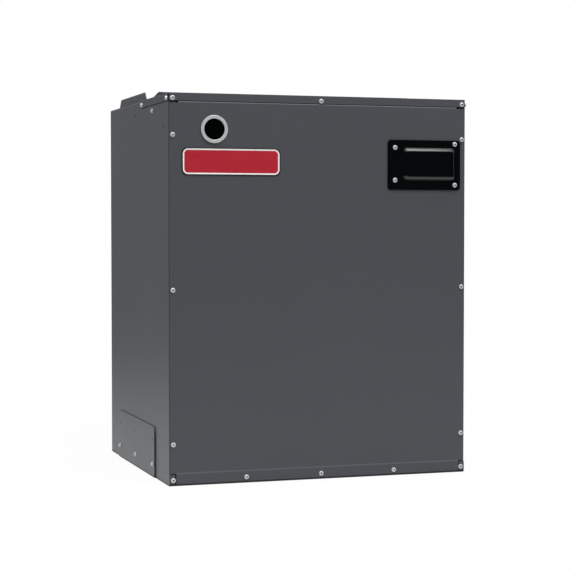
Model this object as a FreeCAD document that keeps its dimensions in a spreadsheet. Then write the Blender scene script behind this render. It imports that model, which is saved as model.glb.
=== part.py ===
"""Modular blower: sheet-metal cabinet, hung centrifugal blower, controls and a removable front panel."""
import FreeCAD
import Part
import math
import os
from types import SimpleNamespace

import Sketcher

Vector = FreeCAD.Vector
doc = FreeCAD.newDocument("modular_blower")
sheet = doc.addObject("Spreadsheet::Sheet", "dims")

# Driving sizes in millimetres, degrees and counts
DRIVING = [
    ("cabinet_width", 622.3, "outside width of the wrapper"),
    ("cabinet_depth", 533.4, "front panel face to back wall"),
    ("cabinet_height", 762.0, "floor to the top cover"),
    ("gauge", 1.0, "thickness of the cabinet sheets"),
    ("seat_gap", 0.2, "gap between lapped sheets"),
    ("bend_radius", 1.0, "inside radius of a sheet bend"),
    ("front_flange", 14.0, "width of the wrapper's front flanges"),
    ("panel_margin", 2.0, "panel edge to cabinet edge"),
    ("panel_top_gap", 1.0, "gap between the panel and the top strip"),
    ("panel_top_flange", 12.0, "depth of the panel's top flange"),
    ("top_strip", 15.0, "height of the top cover's strips"),
    ("base_strip", 21.6, "height of the base pan's front flange"),
    ("base_side_flange", 16.0, "height of the base pan's other flanges"),
    ("corner_notch", 13.6, "width of the base pan's visible corner tabs"),
    ("screw_inset", 7.9, "edge screws to the cabinet edge"),
    ("base_screw_height", 11.5, "height of the base pan's corner screws"),
    ("band_screw_height", 11.8, "height of the screws in the panel's lower band"),
    ("top_screw_drop", 10.0, "strip screws below the top"),
    ("panel_screw_pitch", 300.0, "spacing of the panel's side screws"),
    ("screw_head_radius", 5.2, "corner radius of a sheet screw's hex head"),
    ("screw_head_height", 3.4, "height of a sheet screw's head"),
    ("screw_shank_radius", 1.9, "shank of a sheet screw"),
    ("screw_shank_length", 6.0, "length of a sheet screw under the head"),
    ("screw_clearance", 0.25, "hole radius over shank radius"),
    ("top_cover_depth", 229.0, "front to the front duct flange"),
    ("duct_flange", 19.0, "height of the duct flanges"),
    ("duct_inset", 12.0, "side duct flanges to the cabinet side"),
    ("duct_rear_inset", 38.0, "rear duct flange to the cabinet back"),
    ("frame_skirt", 30.0, "down-turned skirt of the supply frame"),
    ("brace_from_front", 132.0, "front to the brace and its screws"),
    ("brace_screw_drop", 27.0, "brace screws below the top"),
    ("brace_width", 40.0, "width of the top brace"),
    ("liner", 12.7, "thickness of the insulation"),
    ("liner_top_drop", 46.0, "wall insulation below the top"),
    ("return_margin_side", 48.0, "return opening to the cabinet sides"),
    ("return_margin_end", 46.0, "return opening to the front and back"),
    ("return_collar", 14.0, "height of the collar round the return opening"),
    ("axis_height", 310.0, "wheel axis above the floor"),
    ("outlet_rise", 200.0, "wheel axis to the deck"),
    ("deck_flange", 25.0, "up-turned sides of the deck"),
    ("deck_lip", 20.0, "down-turned front of the deck"),
    ("wheel_diameter", 280.0, "outside diameter of the wheel"),
    ("wheel_width", 254.0, "width over both blade rows"),
    ("blade_count", 36, "blades in each row"),
    ("blade_depth", 28.0, "radial depth of a blade"),
    ("blade_sweep", 9.0, "blade arc centre ahead of its chord"),
    ("blade_thickness", 0.9, "thickness of a blade"),
    ("wheel_ring", 1.2, "thickness of the end rings"),
    ("wheel_disc_thickness", 1.6, "thickness of the centre disc"),
    ("scroll_clearance", 10.0, "wheel rim to the start of the scroll"),
    ("scroll_step", 27.0, "growth of the scroll in each quarter turn"),
    ("tongue_angle", 65.0, "angle where the scroll leaves the tongue"),
    ("tongue_radius", 10.0, "radius of the tongue"),
    ("wheel_side_gap", 13.0, "wheel end to the housing side"),
    ("housing_rim", 8.0, "housing side past the scroll wrap"),
    ("housing_flange", 20.0, "outlet flange of a housing side"),
    ("inlet_gap", 4.0, "inlet throat inside the blade edge"),
    ("inlet_roll", 10.0, "rise of the drawn inlet"),
    ("throat_gap", 2.0, "inlet throat to the wheel end"),
    ("motor_diameter", 140.0, "motor shell diameter"),
    ("motor_length", 110.0, "length of the motor shell"),
    ("motor_module_length", 52.0, "length of the motor's control module"),
    ("motor_out", 44.0, "motor shell outside the housing side"),
    ("shaft_diameter", 12.7, "motor shaft"),
    ("running_fit", 0.05, "radial clearance round the shaft"),
    ("shaft_depth", 40.0, "shaft inside the motor shell"),
    ("hub_radius", 19.0, "boss of the wheel hub"),
    ("hub_flange_radius", 42.0, "flange of the wheel hub"),
    ("hub_length", 26.0, "length of the hub past the disc"),
    ("band_width", 26.0, "width of the belly band"),
    ("band_thickness", 1.6, "thickness of the belly band"),
    ("band_ear", 16.0, "height of the belly band ears"),
    ("arm_width", 22.0, "width of a mount arm"),
    ("arm_thickness", 2.5, "thickness of a mount arm"),
    ("arm_rise", 34.0, "inlet throat to the mount bolts"),
    ("grommet_length", 3.5, "rubber between an arm and the housing"),
    ("grommet_radius", 9.0, "outside radius of a mount grommet"),
    ("heater_width", 230.0, "heater opening in the partition"),
    ("heater_height", 140.0, "heater opening in the partition"),
    ("heater_right", 48.0, "heater opening to the right wall"),
    ("heater_lift", 34.0, "heater opening above the deck"),
    ("plate_lap", 16.0, "blank plate past the heater opening"),
    ("board_width", 150.0, "control board"),
    ("board_height", 95.0, "control board"),
    ("board_thickness", 1.6, "control board"),
    ("standoff_length", 10.0, "board to the partition"),
    ("core_width", 66.0, "transformer core"),
    ("core_height", 54.0, "transformer core"),
    ("core_depth", 24.0, "transformer core"),
    ("core_lift", 46.0, "transformer core above the deck"),
    ("port_from_left", 91.0, "sight port centre from the left side"),
    ("port_drop", 69.1, "sight port centre below the top"),
    ("port_radius", 27.2, "outside of the sight port bezel"),
    ("port_glass_radius", 20.6, "opening of the sight port bezel"),
    ("port_proud", 3.4, "bezel in front of the panel"),
    ("plate_from_left", 26.2, "nameplate to the left side"),
    ("plate_drop", 105.3, "nameplate top below the cabinet top"),
    ("plate_width", 199.2, "nameplate"),
    ("plate_height", 53.0, "nameplate"),
    ("plate_thickness", 1.6, "nameplate"),
    ("plate_rim", 3.8, "rim of the nameplate"),
    ("plate_corner", 10.0, "corner radius of the nameplate"),
    ("breaker_from_right", 12.2, "breaker cover to the right side"),
    ("breaker_drop", 83.8, "breaker cover top below the cabinet top"),
    ("breaker_width", 158.1, "breaker cover"),
    ("breaker_height", 100.4, "breaker cover"),
    ("breaker_thickness", 2.4, "breaker cover flange"),
    ("breaker_corner", 7.0, "corner radius of the breaker cover"),
    ("boss_left", 34.3, "raised face to the cover's left edge"),
    ("boss_right", 11.4, "raised face to the cover's right edge"),
    ("boss_above", 16.5, "raised face to the cover's top"),
    ("boss_below", 20.6, "raised face to the cover's bottom"),
    ("boss_rise", 6.0, "height of the raised face"),
    ("boss_corner", 2.5, "corner radius of the raised face"),
    ("boss_slope", 48.0, "slope of the raised face's sides"),
    ("hollow_corner", 1.5, "corner radius of the hollow behind the raised face"),
    ("side_cover_start", 113.8, "front to the side access cover"),
    ("side_cover_length", 331.0, "side access cover"),
    ("side_cover_height", 103.0, "side access cover"),
    ("side_cover_depth", 2.8, "side access cover"),
    ("side_cover_corner", 12.0, "top corners of the side access cover"),
    ("side_cover_screw_height", 26.4, "screws of the side access cover"),
    ("side_cover_hole_height", 77.2, "open holes of the side access cover"),
    ("panel_lift", 1.6, "panel's field above the base strip"),
    ("band_lift", 1.2, "panel's lower band above the floor"),
    ("band_slope", 1.6, "height of the slope from the panel to its lower band"),
    ("panel_corner_drop", 3.0, "panel's outer edges below its top bend"),
    ("panel_relief", 5.5, "panel's top bend to the wrapper's front flange"),
    ("tab_slit", 2.0, "slit between a corner tab and the lower band"),
    ("strip_screw_front", 8.9, "top cover's front side screws to the front"),
    ("strip_screw_rear", 11.0, "top cover's rear side screws to its rear edge"),
    ("corner_slot", 2.6, "open corner across the top cover's front strip"),
    ("corner_slot_depth", 5.5, "open corner along the top cover's side strips"),
    ("spare_hole_back", 58.9, "open wall hole behind the top cover"),
    ("spare_hole_front", 41.2, "open wall hole behind the front"),
    ("spare_hole_drop", 63.1, "open wall hole below the top"),
    ("corner_radius", 6.0, "corners of the openings cut in the sheets"),
    ("relief", 2.0, "relief where folded edges meet"),
    ("edge_gap", 0.5, "gap between the edges of neighbouring sheets"),
    ("access_lap", 24.0, "side access cover past the ends of its opening"),
    ("access_lift", 10.0, "side opening above the cover's screws"),
    ("access_drop", 16.0, "side opening below the cover's top"),
    ("access_screw_inset", 14.9, "side access cover's screws to its ends"),
    ("access_rim", 20.0, "flat ends of the side access cover"),
    ("access_land", 8.0, "flat land above and below the cover's hollow"),
    ("deck_setback", 2.0, "deck lip behind the panel's insulation"),
    ("outlet_lap", 2.0, "deck past the edge of the scroll outlet"),
    ("partition_foot", 16.0, "foot of the control partition"),
    ("field_inset", 20.0, "pressed field of the blank plate inside the opening"),
    ("field_rise", 2.0, "height of the pressed field"),
    ("flange_end", 5.0, "duct flanges to each other at the corners"),
    ("rail_depth", 26.0, "top rail under the cover"),
    ("brace_lip", 18.0, "lips of the top brace"),
    ("brace_tab_inset", 3.0, "wall tabs inside the brace's width"),
    ("liner_gap", 2.0, "insulation to the sheets and screws beside it"),
    ("liner_lift", 6.0, "wall insulation above the side access cover"),
    ("liner_inset", 6.0, "panel insulation to the panel's ends"),
    ("port_clear", 5.0, "panel insulation round the sight port"),
    ("breaker_clear", 24.0, "panel insulation round the breaker opening"),
    ("slide_flange", 18.0, "flange of a blower rail under the deck"),
    ("slide_lip", 12.0, "lip of a blower rail under the housing"),
    ("slide_gap", 1.0, "housing flange to the rail's web"),
    ("slide_lead", 20.0, "rails in front of the housing"),
    ("slide_tail", 6.0, "rails behind the housing"),
    ("bell_radius", 62.0, "motor end bell"),
    ("bell_length", 12.0, "motor end bell"),
    ("nose_radius", 24.0, "bearing nose of the end bell"),
    ("nose_length", 8.0, "bearing nose of the end bell"),
    ("module_radius", 66.0, "motor's control module"),
    ("plug_width", 44.0, "plug socket in the control module"),
    ("plug_height", 14.0, "plug socket in the control module"),
    ("plug_depth", 8.0, "plug socket in the control module"),
    ("plug_drop", 21.0, "plug socket below the axis"),
    ("flat_start", 6.0, "shaft's flat past the bearing nose"),
    ("shaft_flat", 1.0, "depth of the shaft's flat"),
    ("shaft_end", 4.0, "shaft past the hub"),
    ("band_setback", 8.0, "belly band to the motor's outer end"),
    ("band_slot", 10.0, "gap between the belly band's ears"),
    ("band_bolt_head", 4.0, "head and nut of the band's bolt"),
    ("bolt_tip", 5.0, "bolts past their nut or sheet"),
    ("arm_setback", 3.0, "mount arms to the band's outer edge"),
    ("arm_tab", 20.0, "arm's tab along the band"),
    ("arm_heel", 12.0, "mount bolt to the arm's bend"),
    ("rim_land", 1.5, "end rings past the blade tips"),
    ("disc_clear", 2.0, "disc hole over the shaft radius"),
    ("hub_flange", 2.5, "thickness of the hub's flange"),
    ("set_screw_at", 16.0, "set screw from the middle of the wheel"),
    ("set_screw_radius", 3.0, "set screw"),
    ("set_screw_proud", 2.0, "set screw above the boss"),
    ("board_left", 46.5, "sight port to the board's left edge"),
    ("board_above", 7.5, "board's top above the sight port"),
    ("board_hole_inset", 6.0, "board screws to its edges"),
    ("board_edge", 4.0, "terminals to the board's lower edge"),
    ("standoff_radius", 4.9, "board standoffs"),
    ("relay_width", 26.0, "relay"),
    ("relay_height", 30.0, "relay"),
    ("relay_depth", 19.0, "relay"),
    ("relay_pitch", 30.0, "relay to relay"),
    ("relay_edge", 28.0, "first relay to the board's right edge"),
    ("relay_lift", 12.0, "relays above the board's lower edge"),
    ("terminal_width", 50.0, "terminal strip"),
    ("terminal_height", 16.0, "terminal strip"),
    ("terminal_depth", 12.0, "terminal strip"),
    ("terminal_edge", 16.0, "terminal strip to the board's left edge"),
    ("well_width", 7.0, "terminal well"),
    ("well_height", 8.0, "terminal well"),
    ("well_depth", 7.0, "terminal well"),
    ("socket_width", 30.0, "board socket"),
    ("socket_height", 12.0, "board socket"),
    ("socket_depth", 11.0, "board socket"),
    ("socket_wall", 2.0, "wall of a board socket"),
    ("socket_edge", 14.0, "sockets to the board's edges"),
    ("socket_pitch", 24.0, "socket to socket"),
    ("led_radius", 3.0, "status light"),
    ("led_length", 8.0, "status light"),
    ("fuse_width", 6.0, "blade fuse"),
    ("fuse_height", 20.0, "blade fuse"),
    ("fuse_depth", 14.0, "blade fuse"),
    ("fuse_edge", 78.0, "blade fuse to the board's left edge"),
    ("core_gap", 34.0, "board to the transformer"),
    ("core_standoff", 8.0, "core to the partition"),
    ("core_tab", 2.0, "thickness of the core's foot"),
    ("core_tab_reach", 16.0, "foot past the core"),
    ("core_tab_height", 12.0, "height of the core's foot"),
    ("core_screw_out", 9.0, "foot screws past the core"),
    ("coil_front", 8.0, "coil in front of the core"),
    ("coil_back", 5.0, "coil behind the core"),
    ("coil_gap", 0.5, "coil to the core"),
    ("port_land", 2.0, "bezel past the panel's hole"),
    ("lens_setback", 2.0, "lens behind the bezel's face"),
    ("lens_thickness", 2.4, "lens"),
    ("bond_gap", 0.05, "gap round a bonded piece"),
    ("plate_face_set", 0.5, "nameplate's face below its rim"),
    ("boss_lap", 4.0, "panel past the hollow behind the raised face"),
    ("cover_screw_left", 15.5, "breaker cover's left screws to its edge"),
    ("cover_screw_right", 12.2, "breaker cover's right screws to its edge"),
    ("cover_screw_low_left", 19.4, "lower left screw above the cover's edge"),
    ("cover_screw_high_left", 15.6, "upper left screw below the cover's edge"),
    ("cover_screw_low_right", 10.2, "lower right screw above the cover's edge"),
    ("cover_screw_high_right", 7.4, "upper right screw below the cover's edge"),
]


class Size:
    """A number that keeps the spreadsheet expression it came from."""

    def __init__(self, number, text):
        self.number = float(number)
        self.text = text

    def __add__(self, other):
        return combine(self, "+", other, lambda a, b: a + b)

    def __radd__(self, other):
        return combine(other, "+", self, lambda a, b: a + b)

    def __sub__(self, other):
        return combine(self, "-", other, lambda a, b: a - b)

    def __rsub__(self, other):
        return combine(other, "-", self, lambda a, b: a - b)

    def __mul__(self, other):
        return combine(self, "*", other, lambda a, b: a * b)

    def __rmul__(self, other):
        return combine(other, "*", self, lambda a, b: a * b)

    def __truediv__(self, other):
        return combine(self, "/", other, lambda a, b: a / b)

    def __neg__(self):
        return Size(-self.number, f"(-1 * {self.text})")


def sized(value):
    return value if isinstance(value, Size) else Size(value, repr(float(value)))


def combine(first, sign, second, work):
    a = sized(first)
    b = sized(second)
    return Size(work(a.number, b.number), f"({a.text} {sign} {b.text})")


def root(value):
    return Size(math.sqrt(value.number), f"sqrt({value.text})")


def cosine(angle):
    return Size(math.cos(math.radians(angle.number)), f"cos({angle.text})")


def sine(angle):
    return Size(math.sin(math.radians(angle.number)), f"sin({angle.text})")


def arctangent(slope):
    return Size(math.degrees(math.atan(slope.number)), f"atan({slope.text})")


def enter(row, name, number, note):
    sheet.set(f"A{row}", name)
    sheet.set(f"B{row}", str(number))
    sheet.set(f"C{row}", note)
    sheet.setAlias(f"B{row}", name)
    return Size(number, f"dims.{name}")


d = SimpleNamespace(**{entry[0]: enter(row, *entry) for row, entry in enumerate(DRIVING, 1)})
doc.recompute()

NORMAL_PLANES = {"x": "YZ_Plane", "y": "XZ_Plane", "z": "XY_Plane"}
facing_of = {}
nodes = {}


def bind(thing, prop, value):
    thing.setExpression(prop, sized(value).text)


def new_body(label):
    body = doc.addObject("PartDesign::Body", label)
    body.Label = label
    nodes[label] = body
    return body


def place(thing, x=None, y=None, z=None):
    for axis, value in (("x", x), ("y", y), ("z", z)):
        if value is not None:
            bind(thing, f"Placement.Base.{axis}", value)


def sketch_at(body, facing, level):
    """A sketch across the given world axis: (y, z), (x, z) or (x, y) for facing x, y or z."""
    role = NORMAL_PLANES[facing]
    plane = next(item for item in body.Origin.OriginFeatures if item.Role == role)
    sketch = body.newObject("Sketcher::SketchObject", f"{body.Name}_sketch")
    sketch.AttachmentSupport = [(plane, "")]
    sketch.MapMode = "FlatFace"
    bind(sketch, "AttachmentOffset.Base.z", -sized(level) if facing == "y" else level)
    facing_of[sketch.Name] = facing
    return sketch


def flat(point):
    return Vector(sized(point[0]).number, sized(point[1]).number, 0)


def pin(sketch, pins):
    """Fixes points to the sketch origin; each pin is (constraint type, geometry, point, size)."""
    wanted = []
    for kind, geo, point, value in pins:
        wanted.append(Sketcher.Constraint(kind, -1, 1, geo, point, sized(value).number))
    for index, entry in zip(sketch.addConstraint(wanted), pins):
        bind(sketch, f"Constraints[{index}]", entry[3])


def loop(sketch, corners, arcs=None):
    """A closed outline; arcs gives (centre x, centre y, counter-clockwise) for an edge's index."""
    arcs = arcs or {}
    edges = []
    pins = []
    for index, corner in enumerate(corners):
        start = flat(corner)
        end = flat(corners[(index + 1) % len(corners)])
        if index in arcs:
            centre = flat(arcs[index][:2])
            turns_left = arcs[index][2]
            first, last = (start, end) if turns_left else (end, start)
            angle_from = math.atan2(first.y - centre.y, first.x - centre.x)
            angle_to = math.atan2(last.y - centre.y, last.x - centre.x)
            if angle_to <= angle_from:
                angle_to += 2 * math.pi
            circle = Part.Circle(centre, Vector(0, 0, 1), (start - centre).Length)
            geo = sketch.addGeometry(Part.ArcOfCircle(circle, angle_from, angle_to))
            edges.append((geo, 1, 2) if turns_left else (geo, 2, 1))
            chord = end - start
            if abs(chord.x) > abs(chord.y):
                pins.append(("DistanceY", geo, 3, arcs[index][1]))
            else:
                pins.append(("DistanceX", geo, 3, arcs[index][0]))
        else:
            geo = sketch.addGeometry(Part.LineSegment(start, end))
            edges.append((geo, 1, 2))
        pins.append(("DistanceX", geo, edges[-1][1], corner[0]))
        pins.append(("DistanceY", geo, edges[-1][1], corner[1]))
    joints = []
    for index, edge in enumerate(edges):
        following = edges[(index + 1) % len(edges)]
        joints.append(Sketcher.Constraint("Coincident", edge[0], edge[2], following[0], following[1]))
    sketch.addConstraint(joints)
    pin(sketch, pins)


def rectangle(sketch, x0, x1, y0, y1):
    loop(sketch, [(x0, y0), (x1, y0), (x1, y1), (x0, y1)])


def rounded(sketch, x0, x1, y0, y1, radius):
    corners = [
        (x0 + radius, y0), (x1 - radius, y0), (x1, y0 + radius), (x1, y1 - radius),
        (x1 - radius, y1), (x0 + radius, y1), (x0, y1 - radius), (x0, y0 + radius),
    ]
    arcs = {
        1: (x1 - radius, y0 + radius, True), 3: (x1 - radius, y1 - radius, True),
        5: (x0 + radius, y1 - radius, True), 7: (x0 + radius, y0 + radius, True),
    }
    loop(sketch, corners, arcs)


def circle(sketch, x, y, radius):
    geo = sketch.addGeometry(Part.Circle(flat((x, y)), Vector(0, 0, 1), sized(radius).number))
    pin(sketch, [("DistanceX", geo, 3, x), ("DistanceY", geo, 3, y)])
    index = sketch.addConstraint(Sketcher.Constraint("Radius", geo, sized(radius).number))
    bind(sketch, f"Constraints[{index}]", radius)


def polygon(sketch, x, y, corner_radius, sides):
    turns = [math.radians(360 * (k + 0.5) / sides) for k in range(sides)]
    loop(sketch, [(x + corner_radius * math.cos(a), y + corner_radius * math.sin(a)) for a in turns])


def bent(sketch, path, thickness, radius):
    """Outline of a sheet bent at right angles; the path is one face and the sheet lies to its left.

    Without a radius the bends are sharp.
    """
    spans = [(flat(path[i + 1]) - flat(path[i])).normalize() for i in range(len(path) - 1)]
    near = [path[0]]
    far = [(path[0][0] - spans[0].y * thickness, path[0][1] + spans[0].x * thickness)]
    near_arcs = {}
    far_arcs = []
    for index in range(1, len(path) - 1):
        into = spans[index - 1]
        out = spans[index]
        turns_left = into.x * out.y - into.y * out.x > 0
        corner = path[index]
        if radius is None:
            near.append(corner)
            far.append((corner[0] - (into.y + out.y) * thickness, corner[1] + (into.x + out.x) * thickness))
            continue
        own = radius + thickness if turns_left else radius
        start = (corner[0] - into.x * own, corner[1] - into.y * own)
        end = (corner[0] + out.x * own, corner[1] + out.y * own)
        centre = (start[0] + out.x * own, start[1] + out.y * own)
        near_arcs[len(near)] = (centre[0], centre[1], turns_left)
        near += [start, end]
        other = radius if turns_left else radius + thickness
        far_start = (centre[0] - out.x * other, centre[1] - out.y * other)
        far_end = (centre[0] + into.x * other, centre[1] + into.y * other)
        far_arcs.append((len(far), (centre[0], centre[1], not turns_left)))
        far += [far_start, far_end]
    last = spans[-1]
    near.append(path[-1])
    far.append((path[-1][0] - last.y * thickness, path[-1][1] + last.x * thickness))
    corners = near + far[::-1]
    arcs = dict(near_arcs)
    for start, arc in far_arcs:
        arcs[len(corners) - 2 - start] = arc
    loop(sketch, corners, arcs)


def pad(body, sketch, length, taper=None):
    """Adds material from the sketch along the positive world axis."""
    feature = body.newObject("PartDesign::Pad", f"{body.Name}_pad")
    feature.Profile = sketch
    feature.Reversed = facing_of[sketch.Name] == "y"
    bind(feature, "Length", length)
    if taper is not None:
        bind(feature, "TaperAngle", taper)
    return feature


def cut(body, sketch, length):
    """Removes material from the sketch along the positive world axis."""
    feature = body.newObject("PartDesign::Pocket", f"{body.Name}_cut")
    feature.Profile = sketch
    feature.Reversed = facing_of[sketch.Name] != "y"
    bind(feature, "Length", length)
    return feature


def turn(body, sketch, axis="H_Axis"):
    feature = body.newObject("PartDesign::Revolution", f"{body.Name}_turn")
    feature.Profile = sketch
    feature.ReferenceAxis = (sketch, [axis])
    feature.Angle = 360
    return feature


def outline(sketch, x0, x1, y0, y1, radius):
    if radius is None:
        rectangle(sketch, x0, x1, y0, y1)
    else:
        rounded(sketch, x0, x1, y0, y1, radius)


def plate(body, facing, level, thickness, x0, x1, y0, y1, radius=None):
    sketch = sketch_at(body, facing, level)
    outline(sketch, x0, x1, y0, y1, radius)
    return pad(body, sketch, thickness)


def recess(body, facing, level, depth, x0, x1, y0, y1, radius=None):
    """A pocket from the level to its depth and no further."""
    sketch = sketch_at(body, facing, level)
    outline(sketch, x0, x1, y0, y1, radius)
    return cut(body, sketch, depth)


def window(body, facing, level, thickness, x0, x1, y0, y1, radius=None):
    """An opening right through a sheet that starts at the level."""
    return recess(body, facing, level - OVER, thickness + OVER * 2, x0, x1, y0, y1, radius)


def drill(body, facing, level, thickness, x, y, radius):
    sketch = sketch_at(body, facing, level - OVER)
    circle(sketch, x, y, radius)
    return cut(body, sketch, thickness + OVER * 2)


def pierce(body, facing, level, thickness, centres):
    """Pierces a sheet for sheet screws; the flats clear a shank turned any way."""
    sketch = sketch_at(body, facing, level - OVER)
    for x, y in centres:
        polygon(sketch, x, y, hole_corner, HEX)
    return cut(body, sketch, thickness + OVER * 2)


def fasten(body, facing, head_side, level, centres, length):
    """Hex head screws whose heads bear on the level and point to the head side."""
    steps = [(0, d.screw_head_height, d.screw_head_radius), (-length, 0, d.screw_shank_radius)]
    for low, high, radius in steps:
        sketch = sketch_at(body, facing, level + low if head_side > 0 else level - high)
        for x, y in centres:
            polygon(sketch, x, y, radius, HEX)
        pad(body, sketch, sized(high) - low)


# Planes and positions shared by the pieces
OVER = 1
HEX = 6
GROMMET_SIDES = 8
ZERO = sized(0)
left = -d.cabinet_width / 2
right = d.cabinet_width / 2
front = -d.cabinet_depth / 2
back = d.cabinet_depth / 2
top = d.cabinet_height
wrap_front = front + d.gauge + d.seat_gap
strip_front = wrap_front - d.gauge
wall_gap = d.seat_gap + d.bend_radius / 5
inner_right = right - d.gauge - wall_gap
inner_left = -inner_right
inner_back = back - d.gauge - wall_gap
wall_top = top - d.gauge - d.bend_radius
cover_side = right + d.seat_gap + d.gauge
corner_in = cover_side - d.corner_slot
corner_back = strip_front + d.corner_slot_depth
strip_bottom = top - d.top_strip
cover_rear = front + d.top_cover_depth
deck = d.axis_height + d.outlet_rise
deck_top = deck + d.gauge
axis_y = -d.scroll_step
screw_hole = d.screw_shank_radius + d.screw_clearance
hole_corner = screw_hole / math.cos(math.pi / HEX)
screw_x = right - d.screw_inset
panel_bottom = d.base_strip + d.panel_lift
band_top = panel_bottom + d.gauge
band_half = right - d.corner_notch
tab_edge = band_half + d.tab_slit
panel_top = strip_bottom - d.panel_top_gap
panel_screw_heights = [top / 2 - d.panel_screw_pitch, top / 2, top / 2 + d.panel_screw_pitch]
panel_side_screws = [(side * screw_x, height) for side in (-1, 1) for height in panel_screw_heights]
band_screws = [(x, d.band_screw_height) for x in (left / 2, ZERO, right / 2)]
base_corner_screws = [(side * screw_x, d.base_screw_height) for side in (-1, 1)]
strip_screw_z = top - d.top_screw_drop
strip_front_screws = [(x, strip_screw_z) for x in (-screw_x, ZERO, screw_x)]
strip_side_screws = [
    (front + d.strip_screw_front, strip_screw_z),
    (cover_rear - d.strip_screw_rear, strip_screw_z),
]
brace_y = front + d.brace_from_front
brace_z = top - d.brace_screw_drop
liner_in = right - d.gauge - d.liner
deck_front = front + d.gauge + d.liner + d.deck_setback
partition_y = cover_rear - d.gauge
access_start = front + d.side_cover_start
access_end = access_start + d.side_cover_length
access_screw_y = [
    access_start + d.access_screw_inset,
    (access_start + access_end) / 2,
    access_end - d.access_screw_inset,
]
access_screws = [(y, d.side_cover_screw_height) for y in access_screw_y]
access_holes = [(y, d.side_cover_hole_height) for y in access_screw_y]


def add_wrapper():
    body = new_body("cabinet_wrapper")
    plan = sketch_at(body, "z", 0)
    bent(plan, [
        (right - d.front_flange, wrap_front), (right, wrap_front), (right, back),
        (left, back), (left, wrap_front), (left + d.front_flange, wrap_front),
    ], d.gauge, d.bend_radius)
    pad(body, plan, wall_top)
    foot_top = d.gauge + d.bend_radius + d.seat_gap
    for x0, x1 in ((left + d.gauge, left + d.front_flange), (right - d.front_flange, right - d.gauge)):
        window(body, "y", wrap_front, d.gauge, x0, x1, ZERO, foot_top)
    for x0, x1 in ((-tab_edge, left + d.front_flange), (right - d.front_flange, tab_edge)):
        window(body, "y", wrap_front, d.gauge, x0, x1, ZERO, d.base_strip)
    for x0, x1 in ((left - OVER, -corner_in), (corner_in, right + OVER)):
        window(body, "z", strip_bottom + d.edge_gap, d.top_strip, x0, x1, wrap_front - OVER, corner_back)
    pierce(body, "y", wrap_front, d.gauge, base_corner_screws + panel_side_screws)
    pierce(body, "y", wrap_front, d.gauge, [strip_front_screws[0], strip_front_screws[-1]])
    spare_holes = [
        (cover_rear + d.spare_hole_back, brace_z),
        (front + d.spare_hole_front, top - d.spare_hole_drop),
    ]
    for start in (left, right - d.gauge):
        pierce(body, "x", start, d.gauge, strip_side_screws + [(brace_y, brace_z)] + spare_holes)
    window(body, "x", left, d.gauge, access_start + d.access_lap, access_end - d.access_lap,
           d.side_cover_screw_height + d.access_lift, d.side_cover_height - d.access_drop,
           d.side_cover_corner)
    pierce(body, "x", left, d.gauge, access_screws + [access_holes[0], access_holes[-1]])


def add_base_pan():
    body = new_body("base_pan")
    section = sketch_at(body, "x", inner_left)
    bent(section, [
        (strip_front, d.base_strip), (strip_front, ZERO),
        (inner_back, ZERO), (inner_back, d.base_side_flange),
    ], d.gauge, d.bend_radius)
    pad(body, section, inner_right - inner_left)
    plate(body, "y", strip_front, d.gauge, left, right, d.gauge + d.bend_radius, d.base_strip)
    flange_start = wrap_front + d.gauge + d.relief
    flange_end = inner_back - d.gauge - d.bend_radius
    for start in (inner_left, inner_right - d.gauge):
        plate(body, "x", start, d.gauge, flange_start, flange_end, ZERO, d.base_side_flange)
    half = right - d.return_margin_side
    y0 = front + d.return_margin_end
    y1 = back - d.return_margin_end
    plate(body, "z", 0, d.return_collar, -half - d.gauge, half + d.gauge, y0 - d.gauge, y1 + d.gauge,
          d.corner_radius + d.gauge)
    window(body, "z", ZERO, d.return_collar, -half, half, y0, y1, d.corner_radius)
    for x0, x1 in ((-tab_edge, -band_half), (band_half, tab_edge)):
        window(body, "y", strip_front, d.gauge, x0, x1, d.gauge + d.bend_radius, d.base_strip + OVER)
    pierce(body, "y", strip_front, d.gauge, band_screws + base_corner_screws)


def add_deck():
    body = new_body("blower_deck")
    section = sketch_at(body, "y", deck_front)
    side_top = deck + d.deck_flange
    bent(section, [
        (inner_left, side_top), (inner_left, deck), (inner_right, deck), (inner_right, side_top),
    ], d.gauge, None)
    pad(body, section, inner_back - deck_front)
    lip_end = liner_in - d.edge_gap
    plate(body, "y", deck_front, d.gauge, -lip_end, lip_end, deck - d.deck_lip, deck_top)
    half = housing_half - d.outlet_lap
    window(body, "z", deck, d.gauge, -half, half, axis_y + outlet_front + d.outlet_lap,
           axis_y + scroll_back - d.outlet_lap)


def heater_edges():
    x1 = right - d.heater_right
    z0 = deck + d.heater_lift
    return x1 - d.heater_width, x1, z0, z0 + d.heater_height


def heater_screws():
    x0, x1, z0, z1 = heater_edges()
    lap = d.plate_lap / 2
    return [(x, z) for x in (x0 - lap, x1 + lap) for z in (z0 - lap, z1 + lap)]


def add_partition():
    body = new_body("control_partition")
    rear = partition_y + d.gauge
    section = sketch_at(body, "x", -liner_in)
    bent(section, [
        (partition_y - d.partition_foot, deck_top), (rear, deck_top), (rear, top - d.gauge - d.edge_gap),
    ], d.gauge, None)
    pad(body, section, liner_in * 2)
    window(body, "y", partition_y, d.gauge, *heater_edges())
    pierce(body, "y", partition_y, d.gauge, heater_screws() + transformer_screws())


def add_heater_blank_plate():
    body = new_body("heater_blank_plate")
    x0, x1, z0, z1 = heater_edges()
    lap = d.plate_lap
    plate(body, "y", partition_y - d.gauge, d.gauge, x0 - lap, x1 + lap, z0 - lap, z1 + lap)
    inset = d.field_inset
    plate(body, "y", partition_y - d.gauge - d.field_rise, d.field_rise + d.gauge / 2,
          x0 + inset, x1 - inset, z0 + inset, z1 - inset)
    pierce(body, "y", partition_y - d.gauge, d.gauge, heater_screws())


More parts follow.
